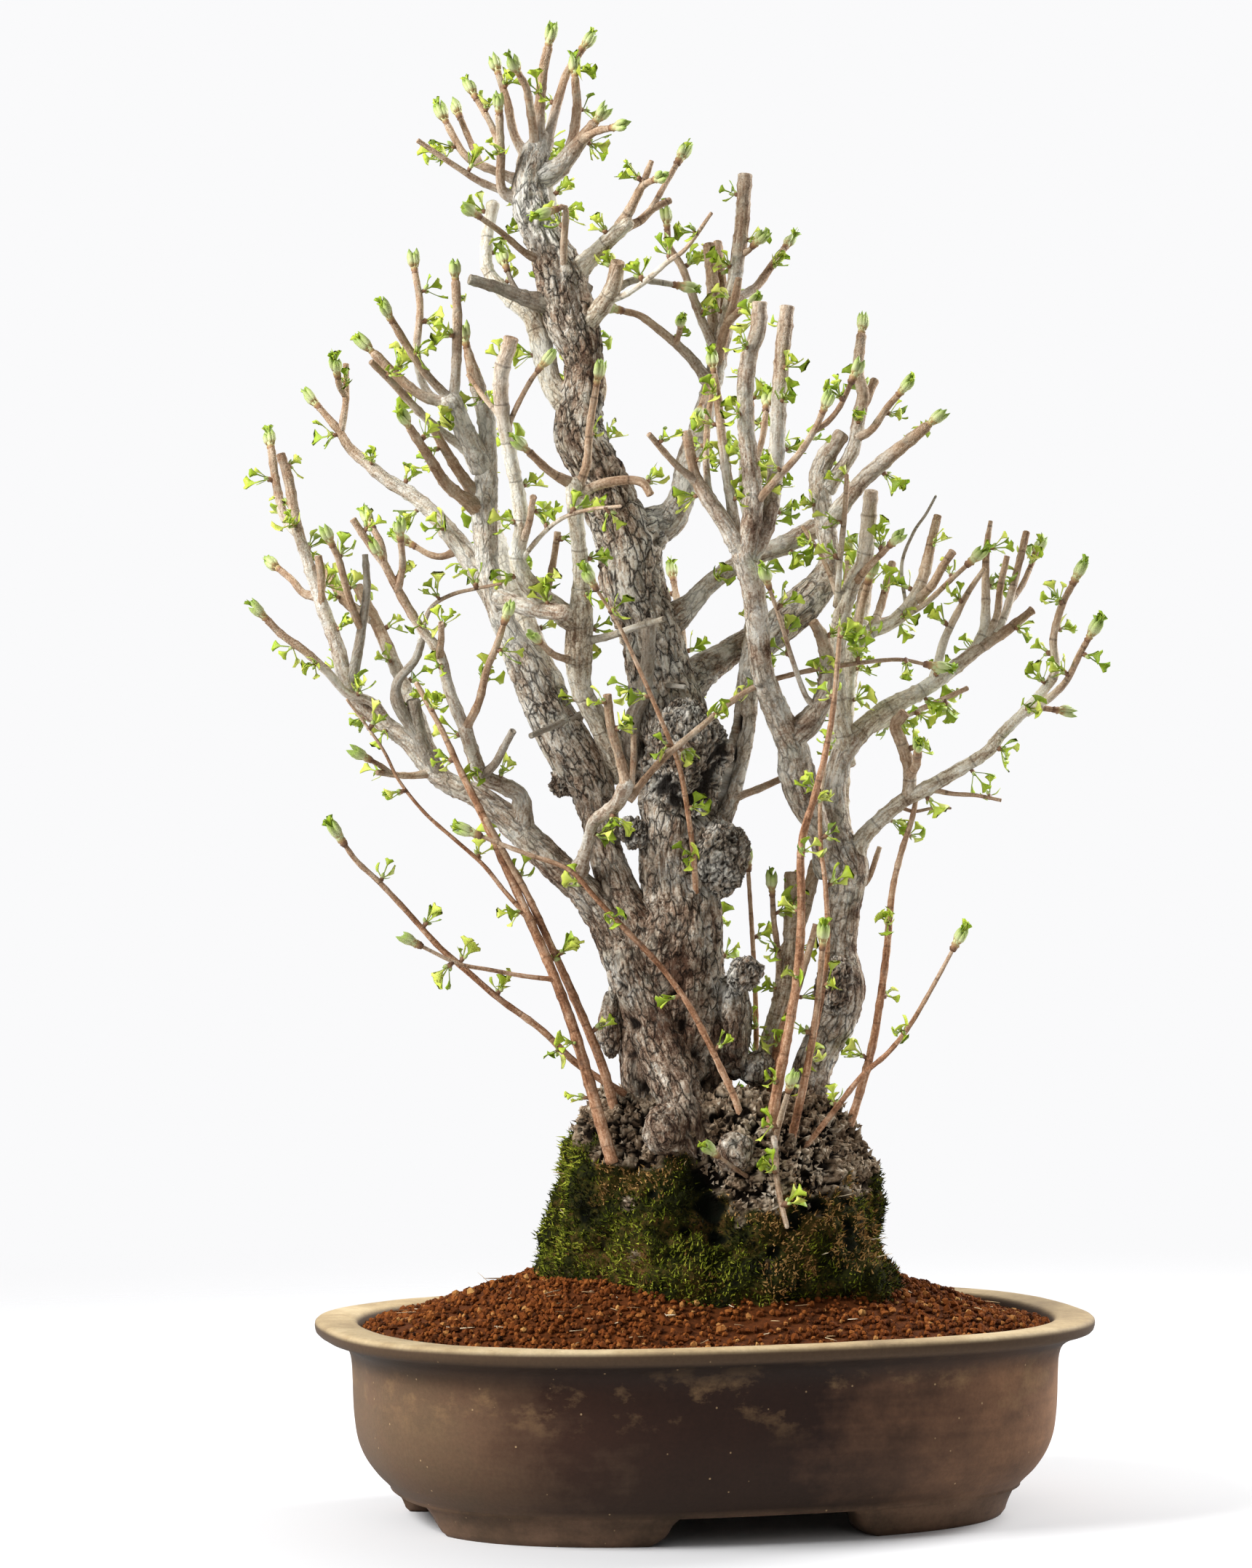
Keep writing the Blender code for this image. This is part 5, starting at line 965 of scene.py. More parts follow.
def flakes(at, size, salt):
    """Loose flakes: cell noise gives each its own number, and a gap along its edge."""
    bent = at + 0.45 * size * bend(at, 0.9 * size, salt)
    near, second, number = cells(bent / np.array([1.0, 1.0, 0.8]), size, salt)
    return ease(second - near, 0.0, 0.3), number


def mound_surface(rows, columns):
    """The mound's ovals, pushed out by lumps, flakes and cushions and in by cracks and crevices."""
    up, turn = np.meshgrid(np.linspace(MOUND_FOOT, MOUND_TOP, rows), around(columns), indexing="ij")
    at = mound_point(up, turn)
    normal = grid_normals(at)
    moss = moss_cover(at, normal)
    lump, _ = flakes(at, 17.0, 84)
    flake, tilt = flakes(at, 4.6, 85)
    cushion = swell(at, 17.0, 88) + 0.6 * swell(at, 7.0, 89)
    bare = (4.4 * lump + 1.5 * flake + 2.8 * (tilt - 0.5) - 3.4) + 2.4 * swell(at, 9.0, 90)
    lift = bare * (1 - moss) + (4.4 * cushion + 1.6 * lump) * moss + 4.2 * swell(at, 30.0, 87)
    extra, dark = marks(at, ease(-normal @ BACKWARDS, 0.0, 0.4))
    # Dark gaps between the bare flakes, and painted shade in the low places between the moss cushions.
    crack = np.maximum(1.1 * (1 - lump), 0.9 * (1 - flake)) * (1 - moss) + moss * ease(-cushion, 0.25, 0.95)
    return at + normal * (lift + extra)[..., None], normal, np.maximum(crack, dark), moss, tilt


LOW_BURLS, LOW_BURL_SLIMMING = 240.0, 0.86
FINE_BURLS = 320.0


def burl_surface(burl):
    """A ball pushed out by round grains: fine ones up the trunk, broad smooth ones near the roots."""
    slim = LOW_BURL_SLIMMING if burl[1] < LOW_BURLS else 1.0
    across, up, depth, half_across, half_up, half_deep = burl * [1, 1, 1, slim, slim, 1]
    rows, columns = int(1.7 * half_up + 8), int(3.1 * half_across + 12)
    level, turn = np.meshgrid(np.linspace(-np.pi / 2 + 0.02, np.pi / 2 - 0.02, rows), around(columns), indexing="ij")
    wide = np.cos(level)
    swollen = 1.0 + 0.08 * np.sin(3 * turn + 4 * np.sin(level))
    at = place(across + half_across * wide * swollen * np.cos(turn), up + half_up * np.sin(level),
               depth + half_deep * wide * swollen * np.sin(turn))
    normal = grid_normals(at)
    fine = 1.0 if up > FINE_BURLS else 0.35
    grain, tilt = flakes(at, 2.9 if fine == 1.0 else 7.0, 91)
    lump, _ = flakes(at, 8.0, 92)
    lift = fine * (1.0 * grain + 1.8 * lump + 1.2 * (tilt - 0.5)) - 1.7 + 2.0 * swell(at, 13.0, 93)
    extra, dark = marks(at, ease(-normal @ BACKWARDS, 0.0, 0.4))
    crack = (np.clip(1.05 - grain, 0, 1) * 0.8 + 0.3 * (1 - lump)) * fine ** 0.5
    # The crack value takes the hollows' painted shade as well as the grains' gaps.
    return at + normal * (lift + 0.6 * extra)[..., None], np.maximum(crack, dark), 1.2 * (tilt - 0.4) + weather_at(at)


trunk = Gather()
add_bark(trunk, "trunk", **bark_look(20.0) | {"sides": 108, "step": 1.9})
for name in [key for key in routes if solid_of[key] == "trunk" and key != "trunk"]:
    add_bark(trunk, name, **bark_look(routes[name][:, 3].mean()))
for burl in BURLS:
    at, crack, weather = burl_surface(burl)
    trunk.add(at, crack=crack, girth=18.0, young=0.0, weather=weather, **limb_axes(at))
trunk.piece("trunk_bark", old_cork, ["trunk"])
mound, mound_normal, mound_cracks_and_shade, mound_moss, mound_tone = mound_surface(126, 280)
base = Gather()
base.add(mound, crack=mound_cracks_and_shade, moss=mound_moss, tone=mound_tone)
print("trunk triangles:", totals)

# %% [markdown]
# ## Limbs and shoots
#
# Each solid of the frame holds a limb with its side branches. Their barks are gathered in one
# piece that stands for that solid, so the dressed tree comes apart in the same places. The old
# limbs are scarred and grey, and the straight shoots from the base are last year's red-brown.

# %% The limbs' bark
for solid in dict.fromkeys(row[0] for row in branches if row[0] != "trunk"):
    names = [key for key in routes if solid_of[key] == solid]
    gather = Gather()
    for name in names:
        add_bark(gather, name, **bark_look(routes[name][:, 3].mean()))
    shoot = solid.startswith("shoot") or solid == "rear_shoot"
    thick = max(routes[name][:, 3].max() for name in names)
    cover = shoot_bark if shoot else old_cork if thick > 10.0 else limb_cork if thick > 4.0 else young_bark
    gather.piece(solid + "_bark", cover, [solid])
print("wood triangles:", sum(totals.values()))

# %% [markdown]
# ## Leaves, spurs and opening buds
#
# A ginkgo carries its leaves in tufts on short knobs called spurs, each with a few pale scales at
# its foot, and a strong bud at the end of each twig. In early spring the leaves are still folded
# fans no wider than a fingernail. One leaf is a closed tube that starts as a round stalk and
# flattens into a fan, so stalk and blade are one surface. All leaves are worked out at once, as
# one array of leaf, ring and point.

# %% Where the tufts grow
draw = np.random.default_rng(11)
tuft_rows, bud_rows = [], []
TWIG_GAP, SHOOT_GAP = 14.5, 28.0
for name, route in routes.items():
    path, along = limb_path(name, 1.0)
    ahead, across, over = round_path(path[:, :3])
    total, start = along[-1], 0.9 * collar[name] + 8.0
    if route[:, 3].mean() < 8.0 and total > start + 10.0 and growth(name, along, path[:, 3])[0] >= 0:
        gap = SHOOT_GAP if solid_of[name].startswith("shoot") else TWIG_GAP
        steps = start + np.cumsum(draw.uniform(gap, 2.3 * gap, int(total / gap) + 2))
        steps = steps[steps < total - (9.0 if tips[name] == BUD else 4.0)]
        turn = draw.uniform(0, 2 * np.pi, len(steps))
        index = np.searchsorted(along, steps)
        out = unit(circle(turn, across[index], over[index]) + np.array([0, 0, 0.35]))
        tuft_rows.append(np.hstack([path[index, :3], out, path[index, 3:4]]))
    if tips[name] == BUD:
        bud_rows.append(np.hstack([path[-1, :3], ahead[-1]]))
tufts, buds = np.vstack(tuft_rows), np.vstack(bud_rows)
tuft_at, tuft_out, tuft_wide = np.split(tufts, [3, 6], axis=1)
bud_at, bud_out = buds[:, :3], unit(buds[:, 3:])
print("tufts:", len(tufts), "opening buds:", len(buds))

# %% Fan leaves as one array
LEAF_ROWS = np.array([0.0, 0.14, 0.6, 1.0])
LEAF_SHARES = np.array([-1.0, -0.5, 0.0, 0.5, 1.0, 0.6, 0.0, -0.6])


def fan_leaves(root, grow, face, size, stalk, spread, fold):
    """Stalk ring, then fan rings: angle = share across * spread, distance = share along * size."""
    side = unit(np.cross(grow, face))
    face = unit(np.cross(side, grow))
    rows, share = LEAF_ROWS[None, :, None], LEAF_SHARES[None, None, :]
    cover = np.repeat([1.0, -1.0], [5, 3])[None, None, :]
    size, stalk, spread, fold = (value[:, None, None] for value in (size, stalk, spread, fold))
    angle = share * spread * (0.35 + 0.65 * rows ** 0.6)
    notch = 1.0 - 0.18 * np.exp(-(share / 0.22) ** 2) * (rows > 0.9) - 0.08 * share ** 2
    distance = size * rows * notch
    flat = rows > 0.05
    across = np.where(flat, distance * np.sin(angle) + 0.24 * share, 0.3 * share)
    ahead = np.where(flat, stalk + distance * np.cos(angle), 0.0)
    thick = np.where(flat, 0.18, 0.26 * np.sqrt(1.08 - share ** 2))
    wave = 0.05 * size * rows ** 2 * np.sin(2.6 * np.pi * share + 20.0 * fold)
    lift = fold * np.abs(across) + wave + 0.1 * size * rows ** 2 + thick * cover
    grid = (root[:, None, None] + across[..., None] * side[:, None, None]
            + ahead[..., None] * grow[:, None, None] + lift[..., None] * face[:, None, None])
    return grid, np.broadcast_to(share, across.shape), np.broadcast_to(rows, across.shape)


def spokes(at, out, count, lean):
    """Directions fanned evenly round each outward line and leaning from it, and their own fronts."""
    row = np.repeat(np.arange(len(at)), count)
    order = np.arange(len(row)) - np.concatenate([[0], np.cumsum(count)[:-1]])[row]
    turn = 2 * np.pi * order / count[row] + draw.uniform(0, 6, len(at))[row] + draw.normal(0, 0.3, len(row))
    axis = unit(np.cross(out, draw.normal(0, 1, out.shape)))[row]
    spoke = circle(turn, axis, np.cross(out[row], axis))
    tilt = draw.uniform(*lean, len(row))[:, None]
    grow = unit(out[row] * np.cos(tilt) + spoke * np.sin(tilt))
    front = unit(out[row] * np.sin(tilt) - spoke * np.cos(tilt) + 0.2 * draw.normal(0, 1, grow.shape))
    return row, spoke, grow, front


def tuft_leaves(at, out, count, lean, size, stalk, spread, fold):
    """The seven arrays that fan_leaves takes, for leaves round each tuft's outward line."""
    row, spoke, grow, front = spokes(at, out, count, lean)
    spans = [draw.uniform(*span, len(row)) for span in (size, stalk, spread, fold)]
    return [at[row] + 0.5 * spoke, grow, front] + spans


knob = tuft_at + tuft_out * (tuft_wide * 0.9 + 3.0)
open_leaves = tuft_leaves(knob, tuft_out, draw.integers(3, 8, len(tufts)), (0.1, 1.1), (4.6, 9.4),
                          (1.5, 8.0), (0.5, 0.85), (0.0, 0.45))
folded = tuft_leaves(bud_at + bud_out * 9.0, bud_out, draw.choice([0, 2, 5, 6], len(buds)),
                     (0.02, 0.26), (5.5, 9.5), (0.5, 2.5), (0.28, 0.5), (0.6, 1.0))
leaves = [np.concatenate(pair) for pair in zip(open_leaves, folded)]
print("open leaves:", len(open_leaves[0]), "folded leaves:", len(folded[0]))

# %% [markdown]
# ## Leaf material
#
# Young ginkgo leaves are thin, waxy and bright yellow-green, and darker where a blade is still
# folded. Each leaf has its own tone, and fine veins fan out from the stalk: they are drawn from
# the value that runs across the blade. Thin tissue lets light through, so a little of it
# scatters under the surface.

# %% Leaf material
def leaf_material(name, tones):
    """Leaf colours by leaf, with veins as stripes of the share across the blade."""
    made, node = new_material(name, 0.5, 0.35, Subsurface_Weight=0.2, Subsurface_Radius=(0.6, 1.0, 0.15),
                              Subsurface_Scale=0.8 * MM)
    tone, across, reach = attributes(node, "tone", "across", "reach")
    stripe = node("Math MULTIPLY", across, 44.0)
    stripe = node("Math SINE", stripe)
    edge = node("MapRange", reach, 0.1, 1.0, 0.8, 1.15)
    shade = node("Math MULTIPLY_ADD", stripe, 0.05, edge)
    colour = node("ValToRGB", tone, stops=tones)
    colour = node("VectorMath SCALE", colour, Scale=shade)
    return finish(made, node, colour, stripe, 0.25, 0.1 * MM)


leaf_green = leaf_material("young_ginkgo_leaf", "0 #587019, 0.35 #8ca423, 0.7 #b1c13c, 1 #d2d866")
grid, across, reach = fan_leaves(*leaves)
tone = np.concatenate([draw.uniform(0.25, 1.0, len(open_leaves[0])), draw.uniform(0.1, 0.7, len(folded[0]))])
third = np.array_split(np.argsort(-leaves[0][:, 2]), 3)
for label, rows in zip(("crown", "middle", "low"), third):
    gather = Gather()
    gather.add(grid[rows], tone=tone[rows], across=across[rows], reach=reach[rows])
    gather.piece("leaves_" + label, leaf_green)
print("leaf triangles:", {key: value for key, value in totals.items() if key.startswith("leaves")})

# %% [markdown]
# ## Spurs and bud scales
#
# A spur is a stub of crowded rings, one for each year. A bud breaks out of brown scales, and the
# scales inside it are plump and pale green. Both are short tubes with a radius and a height for
# each ring; the value up the bud picks brown for the old scales and green for the new.

# %% Spurs and buds
def short_tubes(root, grow, radii, heights, columns, ridge=0.0):
    """Rings up a short stem: a radius and a height for each ring, with ridges round it."""
    side = unit(np.cross(grow, np.array([0.31, 0.73, 0.17])))
    turn = around(columns)
    rows = np.arange(radii.shape[1])[:, None]
    width = radii[..., None] * (1.0 + ridge * np.sin(3 * turn + 2.1 * rows))
    ring = circle(turn, side[:, None, None], np.cross(grow, side)[:, None, None], width)
    return root[:, None, None] + ring + heights[..., None, None] * grow[:, None, None]


def bud_material(name):
    """Brown scales low down, pale green above them: the value up the bud picks the colour."""
    made, node = new_material(name, 0.55, 0.35)
    up, = attributes(node, "reach")
    grain = noise(node, node("TexCoord", out="Object"), 0.0015, 4.0)
    mixed = node("Math MULTIPLY_ADD", grain, 0.2, up)
    colour = node("ValToRGB", mixed, stops="0.1 #5f4230, 0.34 #96704f, 0.48 #ab9160, 0.6 #c2c893, "
                                           "0.85 #aebd70, 1.05 #8aa148")
    return finish(made, node, colour, grain, 0.5, 0.4 * MM)


def plump_scales(at, out, count, lean, offset, wide, long, columns):
    """Swollen scales round a line: half-open pods with their radii and heights as shares."""
    row, spoke, grow, _ = spokes(at, out, count, lean)
    width, height = draw.uniform(*wide, (len(row), 1)), draw.uniform(*long, (len(row), 1))
    return short_tubes(at[row] + offset * spoke, grow, width * [[0.45, 1.0, 0.8, 0.06]],
                       height * [[0.0, 0.35, 0.72, 1.0]], columns)


spur_wide = np.array([[2.0, 1.6, 2.0, 1.5, 0.2]]) * draw.uniform(0.7, 1.1, (len(tufts), 1))
spur_high = tuft_wide * 0.9 + np.array([[-1.6, 0.7, 1.8, 2.9, 3.4]])
bud_wide = np.array([[1.0, 1.35, 1.2, 1.5, 1.3, 1.5, 0.9, 0.1]]) * draw.uniform(1.5, 1.9, (len(buds), 1))
bud_high = np.array([[-1.5, 0.3, 1.3, 2.6, 3.8, 5.4, 9.0, 13.0]]) + 0.0 * bud_wide
bud_skin = bud_material("opening_bud_scales")
gather = Gather()
for grid_of, low, top in (
        (short_tubes(tuft_at, tuft_out, spur_wide, spur_high, 5), 0.0, 0.3),
        (plump_scales(knob - 1.2 * tuft_out, tuft_out, np.full(len(tufts), 2), (0.35, 0.9), 0.6,
                      (0.9, 1.5), (3.2, 5.2), 4), 0.5, 0.95),
        (short_tubes(bud_at, bud_out, bud_wide, bud_high, 9, 0.1), 0.0, 0.75),
        (plump_scales(bud_at + 4.2 * bud_out, bud_out, np.full(len(buds), 5), (0.03, 0.2), 1.5,
                      (1.7, 2.4), (8.5, 13.5), 6), 0.3, 1.0)):
    up = np.linspace(low, top, grid_of.shape[1])[None, :, None] + np.zeros(grid_of.shape[:3])
    gather.add(grid_of, reach=up)
gather.piece("spurs_and_buds", bud_skin)
print("spurs and buds triangles:", totals["spurs_and_buds"])

# %% [markdown]
# ## Moss on the root base
#
# Cushion moss is a crowd of stems a few millimetres high. At this size each stem can be a sliver
# of four faces: they are scattered over the mound in proportion to the moss value, lean a little
# from the surface, and take an olive green that turns brown where the moss has dried. Under
# them the mound itself is coloured the same way, so that no bark shines through.

# %% The mossy root base
def mossy_bark(name):
    """Flaked old cork where the moss value is low, and dark olive growth where it is high."""
    made, node = new_material(name, 0.95, 0.05)
    body = node("TexCoord", out="Object")
    crack, moss, flake = attributes(node, "crack", "moss", "tone")
    grain = noise(node, body, 0.003, 7.0, 0.65)
    patch = noise(node, body, 0.022, 4.0)
    tone = node("Mix", 0.5, None, patch, grain)
    pale = node("Math MULTIPLY_ADD", flake, 0.16, tone)
    cork = node("ValToRGB", pale, stops="0.42 #4c3c2d, 0.55 #84705b, 0.66 #b3a28b, 0.78 #dfd4c1")
    green = node("ValToRGB", tone, stops="0.38 #12120a, 0.48 #25270d, 0.55 #3d3516, 0.64 #5f4426")
    # The crack value darkens the flakes' gaps, and paints shade between the moss cushions and in the hollows.
    dark = node("MapRange", crack, 0.3, 0.95, interpolation_type="SMOOTHSTEP")
    cork, green = layers(node, cork, (dark, "#130d09")), layers(node, green, (dark, "#090b05"))
    return finish(made, node, layers(node, cork, (moss, green)), grain, 0.9, 1.4 * MM)


TRIANGLE = around(3)


def slivers(foot, grow, height, width):
    """Four-faced slivers: three points round a foot and one point above it."""
    side = unit(np.cross(grow, np.array([0.21, 0.37, 0.9])))
    ring = circle(TRIANGLE, side[:, None], np.cross(grow, side)[:, None])
    points = np.concatenate([foot[:, None] + width[:, None, None] * ring,
                             (foot + grow * height[:, None])[:, None]], axis=1)
    shift = 4 * np.arange(len(foot))[:, None, None]
    return points, (np.array([[0, 1, 3], [1, 2, 3], [2, 0, 3], [2, 1, 0]]) + shift).reshape(-1, 3)


CORK_CHIPS, MOSS_SLIVERS = 2600, 25000
flat_at, flat_normal, flat_moss = mound.reshape(-1, 3), mound_normal.reshape(-1, 3), mound_moss.ravel()
bare = (1 - flat_moss) ** 2 * (flat_at[:, 2] > 150.0)
draw = np.random.default_rng(23)
picked = draw.choice(len(bare), CORK_CHIPS, p=bare / bare.sum())
lean = flat_normal[picked] * 0.55 + draw.normal(0, 0.55, (CORK_CHIPS, 3)) + np.array([0, 0, 0.3])
chips, faces = slivers(flat_at[picked], unit(lean), draw.uniform(1.5, 4.5, CORK_CHIPS),
                       draw.uniform(0.8, 2.2, CORK_CHIPS))
base.add(chips, faces, crack=0.0, moss=0.0, tone=draw.uniform(0, 1, CORK_CHIPS))
base.piece("root_base", mossy_bark("root_cork_with_moss"), ["trunk"], smooth=False)


def plain_growth(name, stops, roughness=0.85, cell=0.0012):
    """A colour by each small body's own tone, with a finer noise over it that is also its bump."""
    made, node = new_material(name, roughness, 0.1)
    tone, = attributes(node, "tone")
    grain = noise(node, node("TexCoord", out="Object"), cell, 4.0, 0.6)
    mixed = node("Math MULTIPLY_ADD", grain, 0.3, tone)
    return finish(made, node, node("ValToRGB", mixed, stops=stops), grain, 0.6, 0.5 * cell)


# Where the moss is lush (above 0) or dried brown (below 0): across, up, reach, amount
MOSS_PATCHES = numbers("""
-38,218,26,0.9 -32,170,24,0.7 -6,142,26,0.9 35,158,26,0.9 62,138,22,0.7 10,178,16,0.5 120,172,14,0.6 -14,205,20,-0.8
22,212,18,-0.7 96,200,26,-0.9 118,185,22,-0.8 70,190,14,-0.6 142,165,18,-0.8 92,148,16,-0.6 -16,168,10,-0.7
""")
# Where the moss lies in shade between the roots
MOSS_SHADE = numbers("""
50,208,15,-0.36 54,186,16,-0.36 60,168,12,-0.36 118,188,13,-0.36 -24,190,9,-0.36 84,172,9,-0.36 22,170,9,-0.36
""")
chance = flat_moss ** 1.5 * (flat_at[:, 2] > 116.0) * np.clip(1.05 - mound_cracks_and_shade.ravel(), 0, 1)
picked = draw.choice(len(flat_at), MOSS_SLIVERS, p=chance / chance.sum())
foot = flat_at[picked] + draw.normal(0, 0.9, (MOSS_SLIVERS, 3)) - 0.5 * flat_normal[picked]
grow = unit(flat_normal[picked] + 0.6 * draw.normal(0, 1, foot.shape) + np.array([0, 0, 0.35]))
high = draw.uniform(1.6, 4.4, len(foot)) * np.where(draw.uniform(0, 1, len(foot)) > 0.97, 1.8, 1.0)
points, faces = slivers(foot, grow, high, draw.uniform(0.4, 0.85, len(foot)))
side, level, _ = drawn(foot)
lush = with_patches(0.45 * swell(foot, 15.0, 94) + 0.35 * swell(foot, 5.0, 96), side, level, MOSS_PATCHES)
dry = ease(-lush, 0.1, 0.4) * (draw.uniform(0, 1, len(foot)) > 0.25)
fresh = draw.uniform(-0.05, 0.36, len(foot)) + 0.34 * ease(lush, 0.0, 0.9)
fresh = with_patches(fresh, side, level, MOSS_SHADE)
tone = np.clip(fresh * (1 - dry) + dry * draw.uniform(0.62, 1.0, len(foot)), 0, 1)
moss = Gather()
moss.add(points, faces, tone=tone)
moss_green = plain_growth("cushion_moss_olive", "0.15 #131309, 0.35 #2f340b, 0.53 #646d18, 0.7 #a8ad3e, "
                                                "0.8 #5a3b1b, 1.1 #b68f58")
moss.piece("moss", moss_green, smooth=False)
print("moss triangles:", totals["moss"])

# %% [markdown]
# ## Soil
#
# Bonsai soil is not earth but baked clay grains, two to five millimetres across, red-brown when
# damp. A bed that rises from the pot's edge to the roots carries them. Each grain is a ball of
# twenty faces with its points pushed about, sunk to half its height, so the surface has real
# gaps and shadows between the grains. Finer crumbs between them are noise in the material's bump.

# %% The soil bed and its grains
POT_MIDDLE = -BOX_MIDDLE
OVAL_POWER = 2.6
BED_HALF = np.array([212.7, 146.3])


def bed_height(x, y):
    """Height by the oval share of the distance from the middle to the edge."""
    share = (np.abs(x / BED_HALF[0]) ** OVAL_POWER + np.abs(y / BED_HALF[1]) ** OVAL_POWER) ** (1 / OVAL_POWER)
    rise = np.interp(share, [0.0, 0.42, 0.55, 0.64, 0.75, 0.86, 0.94, 1.0],
                     [149.0, 149.0, 144.6, 138.8, 129.6, 121.8, 117.2, 115.0])
    spot = np.stack([x, y, 0 * x], -1)
    return rise + 1.8 * swell(spot, 26.0, 97) + 1.1 * swell(spot, 9.0, 99)


def super_oval(turn):
    """Unit oval: the cosine and sine to the power 2 / 2.6, with their signs."""
    return [np.sign(value) * np.abs(value) ** (2.0 / OVAL_POWER) for value in (np.cos(turn), np.sin(turn))]


def on_bed(inner, outer, count):
    """Points drawn evenly over the bed, between two shares of its area."""
    share, turn = np.sqrt(draw.uniform(inner, outer, count)), draw.uniform(0, 2 * np.pi, count)
    wide, deep = super_oval(turn)
    spot = np.stack([share * wide * BED_HALF[0], share * deep * BED_HALF[1]], -1)
    return np.column_stack([spot, bed_height(*spot.T)])


rows = np.append(np.linspace(0.02, 1.0, 50), 1.0)[:, None]
wide, deep = super_oval(around(150))
x, y = rows * wide * BED_HALF[0], rows * deep * BED_HALF[1]
z = bed_height(x, y) - 0.9
z[-1] = 100.0
soil = Gather()
soil.add((np.stack([x, y, z], -1) + POT_MIDDLE)[::-1], tone=0.22)
golden = (1 + 5 ** 0.5) / 2
ball = np.array([[-1, golden, 0], [1, golden, 0], [-1, -golden, 0], [1, -golden, 0]]) / 1.9
ball = np.concatenate([ball, ball[:, [2, 0, 1]], ball[:, [1, 2, 0]]])
ball_faces = numbers("""0,11,5 0,5,1 0,1,7 0,7,10 0,10,11 1,5,9 5,11,4 11,10,2 10,7,6 7,1,8
3,9,4 3,4,2 3,2,6 3,6,8 3,8,9 4,9,5 2,4,11 6,2,10 8,6,7 9,8,1""").astype(int)
GRAINS = 7400
middle = on_bed(0.14, 0.985, GRAINS)
size = draw.choice([1.2, 1.6, 2.0, 2.6], GRAINS, p=[0.3, 0.4, 0.24, 0.06]) * draw.uniform(0.85, 1.15, GRAINS)
stretch = draw.uniform(0.75, 1.2, (GRAINS, 1, 3))
shape = (ball * stretch + draw.normal(0, 0.12, (GRAINS, 12, 3))) * size[:, None, None]
middle[:, 2] += 0.2 * size
tone = np.clip(draw.normal(0.32, 0.1, GRAINS) + 0.35 * (draw.uniform(0, 1, GRAINS) > 0.95), 0.05, 1)
faces = ball_faces + 12 * np.arange(GRAINS)[:, None, None]
soil.add(shape + middle[:, None] + POT_MIDDLE, faces.reshape(-1, 3), tone=tone)
soil_clay = plain_growth("baked_clay_grains", "0.2 #271306, 0.38 #552c11, 0.52 #763f1a, 0.66 #925728, 0.95 #bb8c52",
                         0.92, 0.0022)
soil.piece("soil_grains", soil_clay, ["soil"], smooth=False)
print("soil triangles:", totals["soil_grains"])

# %% [markdown]
# ## Straws and dead roots
#
# Here and there a dry straw, a dead root or a fallen bud scale lies on the soil and hangs from
# the moss. Each is a thin three-sided tube along a bent line: a start, a direction and a sag.

# %% Straws
STRAWS, LOOSE_STRAWS = 150, 105
start = on_bed(0.3, 0.8, STRAWS) + [0.0, 0.0, 1.6] + POT_MIDDLE
start[LOOSE_STRAWS:] = foot[draw.choice(len(foot), STRAWS - LOOSE_STRAWS)]
heading = unit(draw.normal(0, 1, (STRAWS, 3)) * np.array([1, 1, 0.12]))
away = unit(start[LOOSE_STRAWS:] - np.array([0.0, 0.0, 150.0]))
heading[LOOSE_STRAWS:] = unit(away + 0.6 * heading[LOOSE_STRAWS:])
bow = np.cross(heading, [0, 0, 1.0]) * draw.uniform(-0.5, 0.5, (STRAWS, 1))
reach = draw.uniform(4.0, 13.0, (STRAWS, 1, 1)) * np.array([0, 0.35, 0.7, 1.0])[None, :, None]
line = start[:, None] + heading[:, None] * reach + bow[:, None] * reach ** 2 / 14.0
ring = np.stack([np.cos(TRIANGLE), np.sin(TRIANGLE)], -1)
up = np.where(np.abs(heading[:, 2:]) > 0.8, [[1.0, 0, 0]], [[0, 0, 1.0]])
frame_of = np.stack([np.cross(heading, up), np.cross(np.cross(heading, up), heading)], 1)
thin = np.array([1.0, 1.0, 0.8, 0.3])[None, :, None, None] * draw.uniform(0.22, 0.5, (STRAWS, 1, 1, 1))
straw = line[:, :, None] + thin * (ring @ frame_of[:, None])
straws = Gather()
straws.add(straw, tone=draw.uniform(0, 0.9, STRAWS))
straws.piece("straws", plain_growth("dry_straw", "0.1 #6b4a30, 0.6 #c2a57c, 1 #ded0b4", 0.7))
print("straws:", STRAWS)

# %% [markdown]
# ## The stoneware pot
#
# The pot is a pressed oval of unglazed stoneware with a rolled lip and four corner feet. Its wall
# is one profile carried round an oval that grows rounder towards the foot. The drawn profile is
# rounded at its corners, because thrown or pressed clay has no sharp edge, and a slow swelling
# and a fine wobble keep it hand-made.

# %% The pot's wall, lip and floor
LIP_LENGTH, LIP_WIDTH = 482.0, 330.0
FOOT_HEIGHT = 18.0
POT_PROFILE = numbers("""
20,28 300,28 352,28.5 372,31 404,50 414,70 420,90 425,108 428,117 432,119.8 438,120.8 460,121.4 474,121.2
479.5,120.2 481.5,118.4 481,115 479,112.8 475,111.6 462,109.6 449,106.4 441,102.5 437,96 435.5,86 434.5,72 433,60
429.5,49 421,38 408,28.5 396,22.5 388.5,18.8 382,17.2 300,17 20,17
""")


def oval_width(length):
    """The pot's width at a height with this length: the oval is rounder lower down."""
    return length - (LIP_LENGTH - LIP_WIDTH) + 0.27 * (LIP_LENGTH - length)


def oval_points(length, height, turn):
    """Rings of the oval in the frame, for rows of length and height and columns of turn."""
    wide, deep = super_oval(turn)
    half = length[:, None] / 2.0
    width = np.where(length > 200, oval_width(length), length * 0.6)[:, None] / 2.0
    return np.stack([half * wide, width * deep, height[:, None] + 0 * wide], -1) + POT_MIDDLE


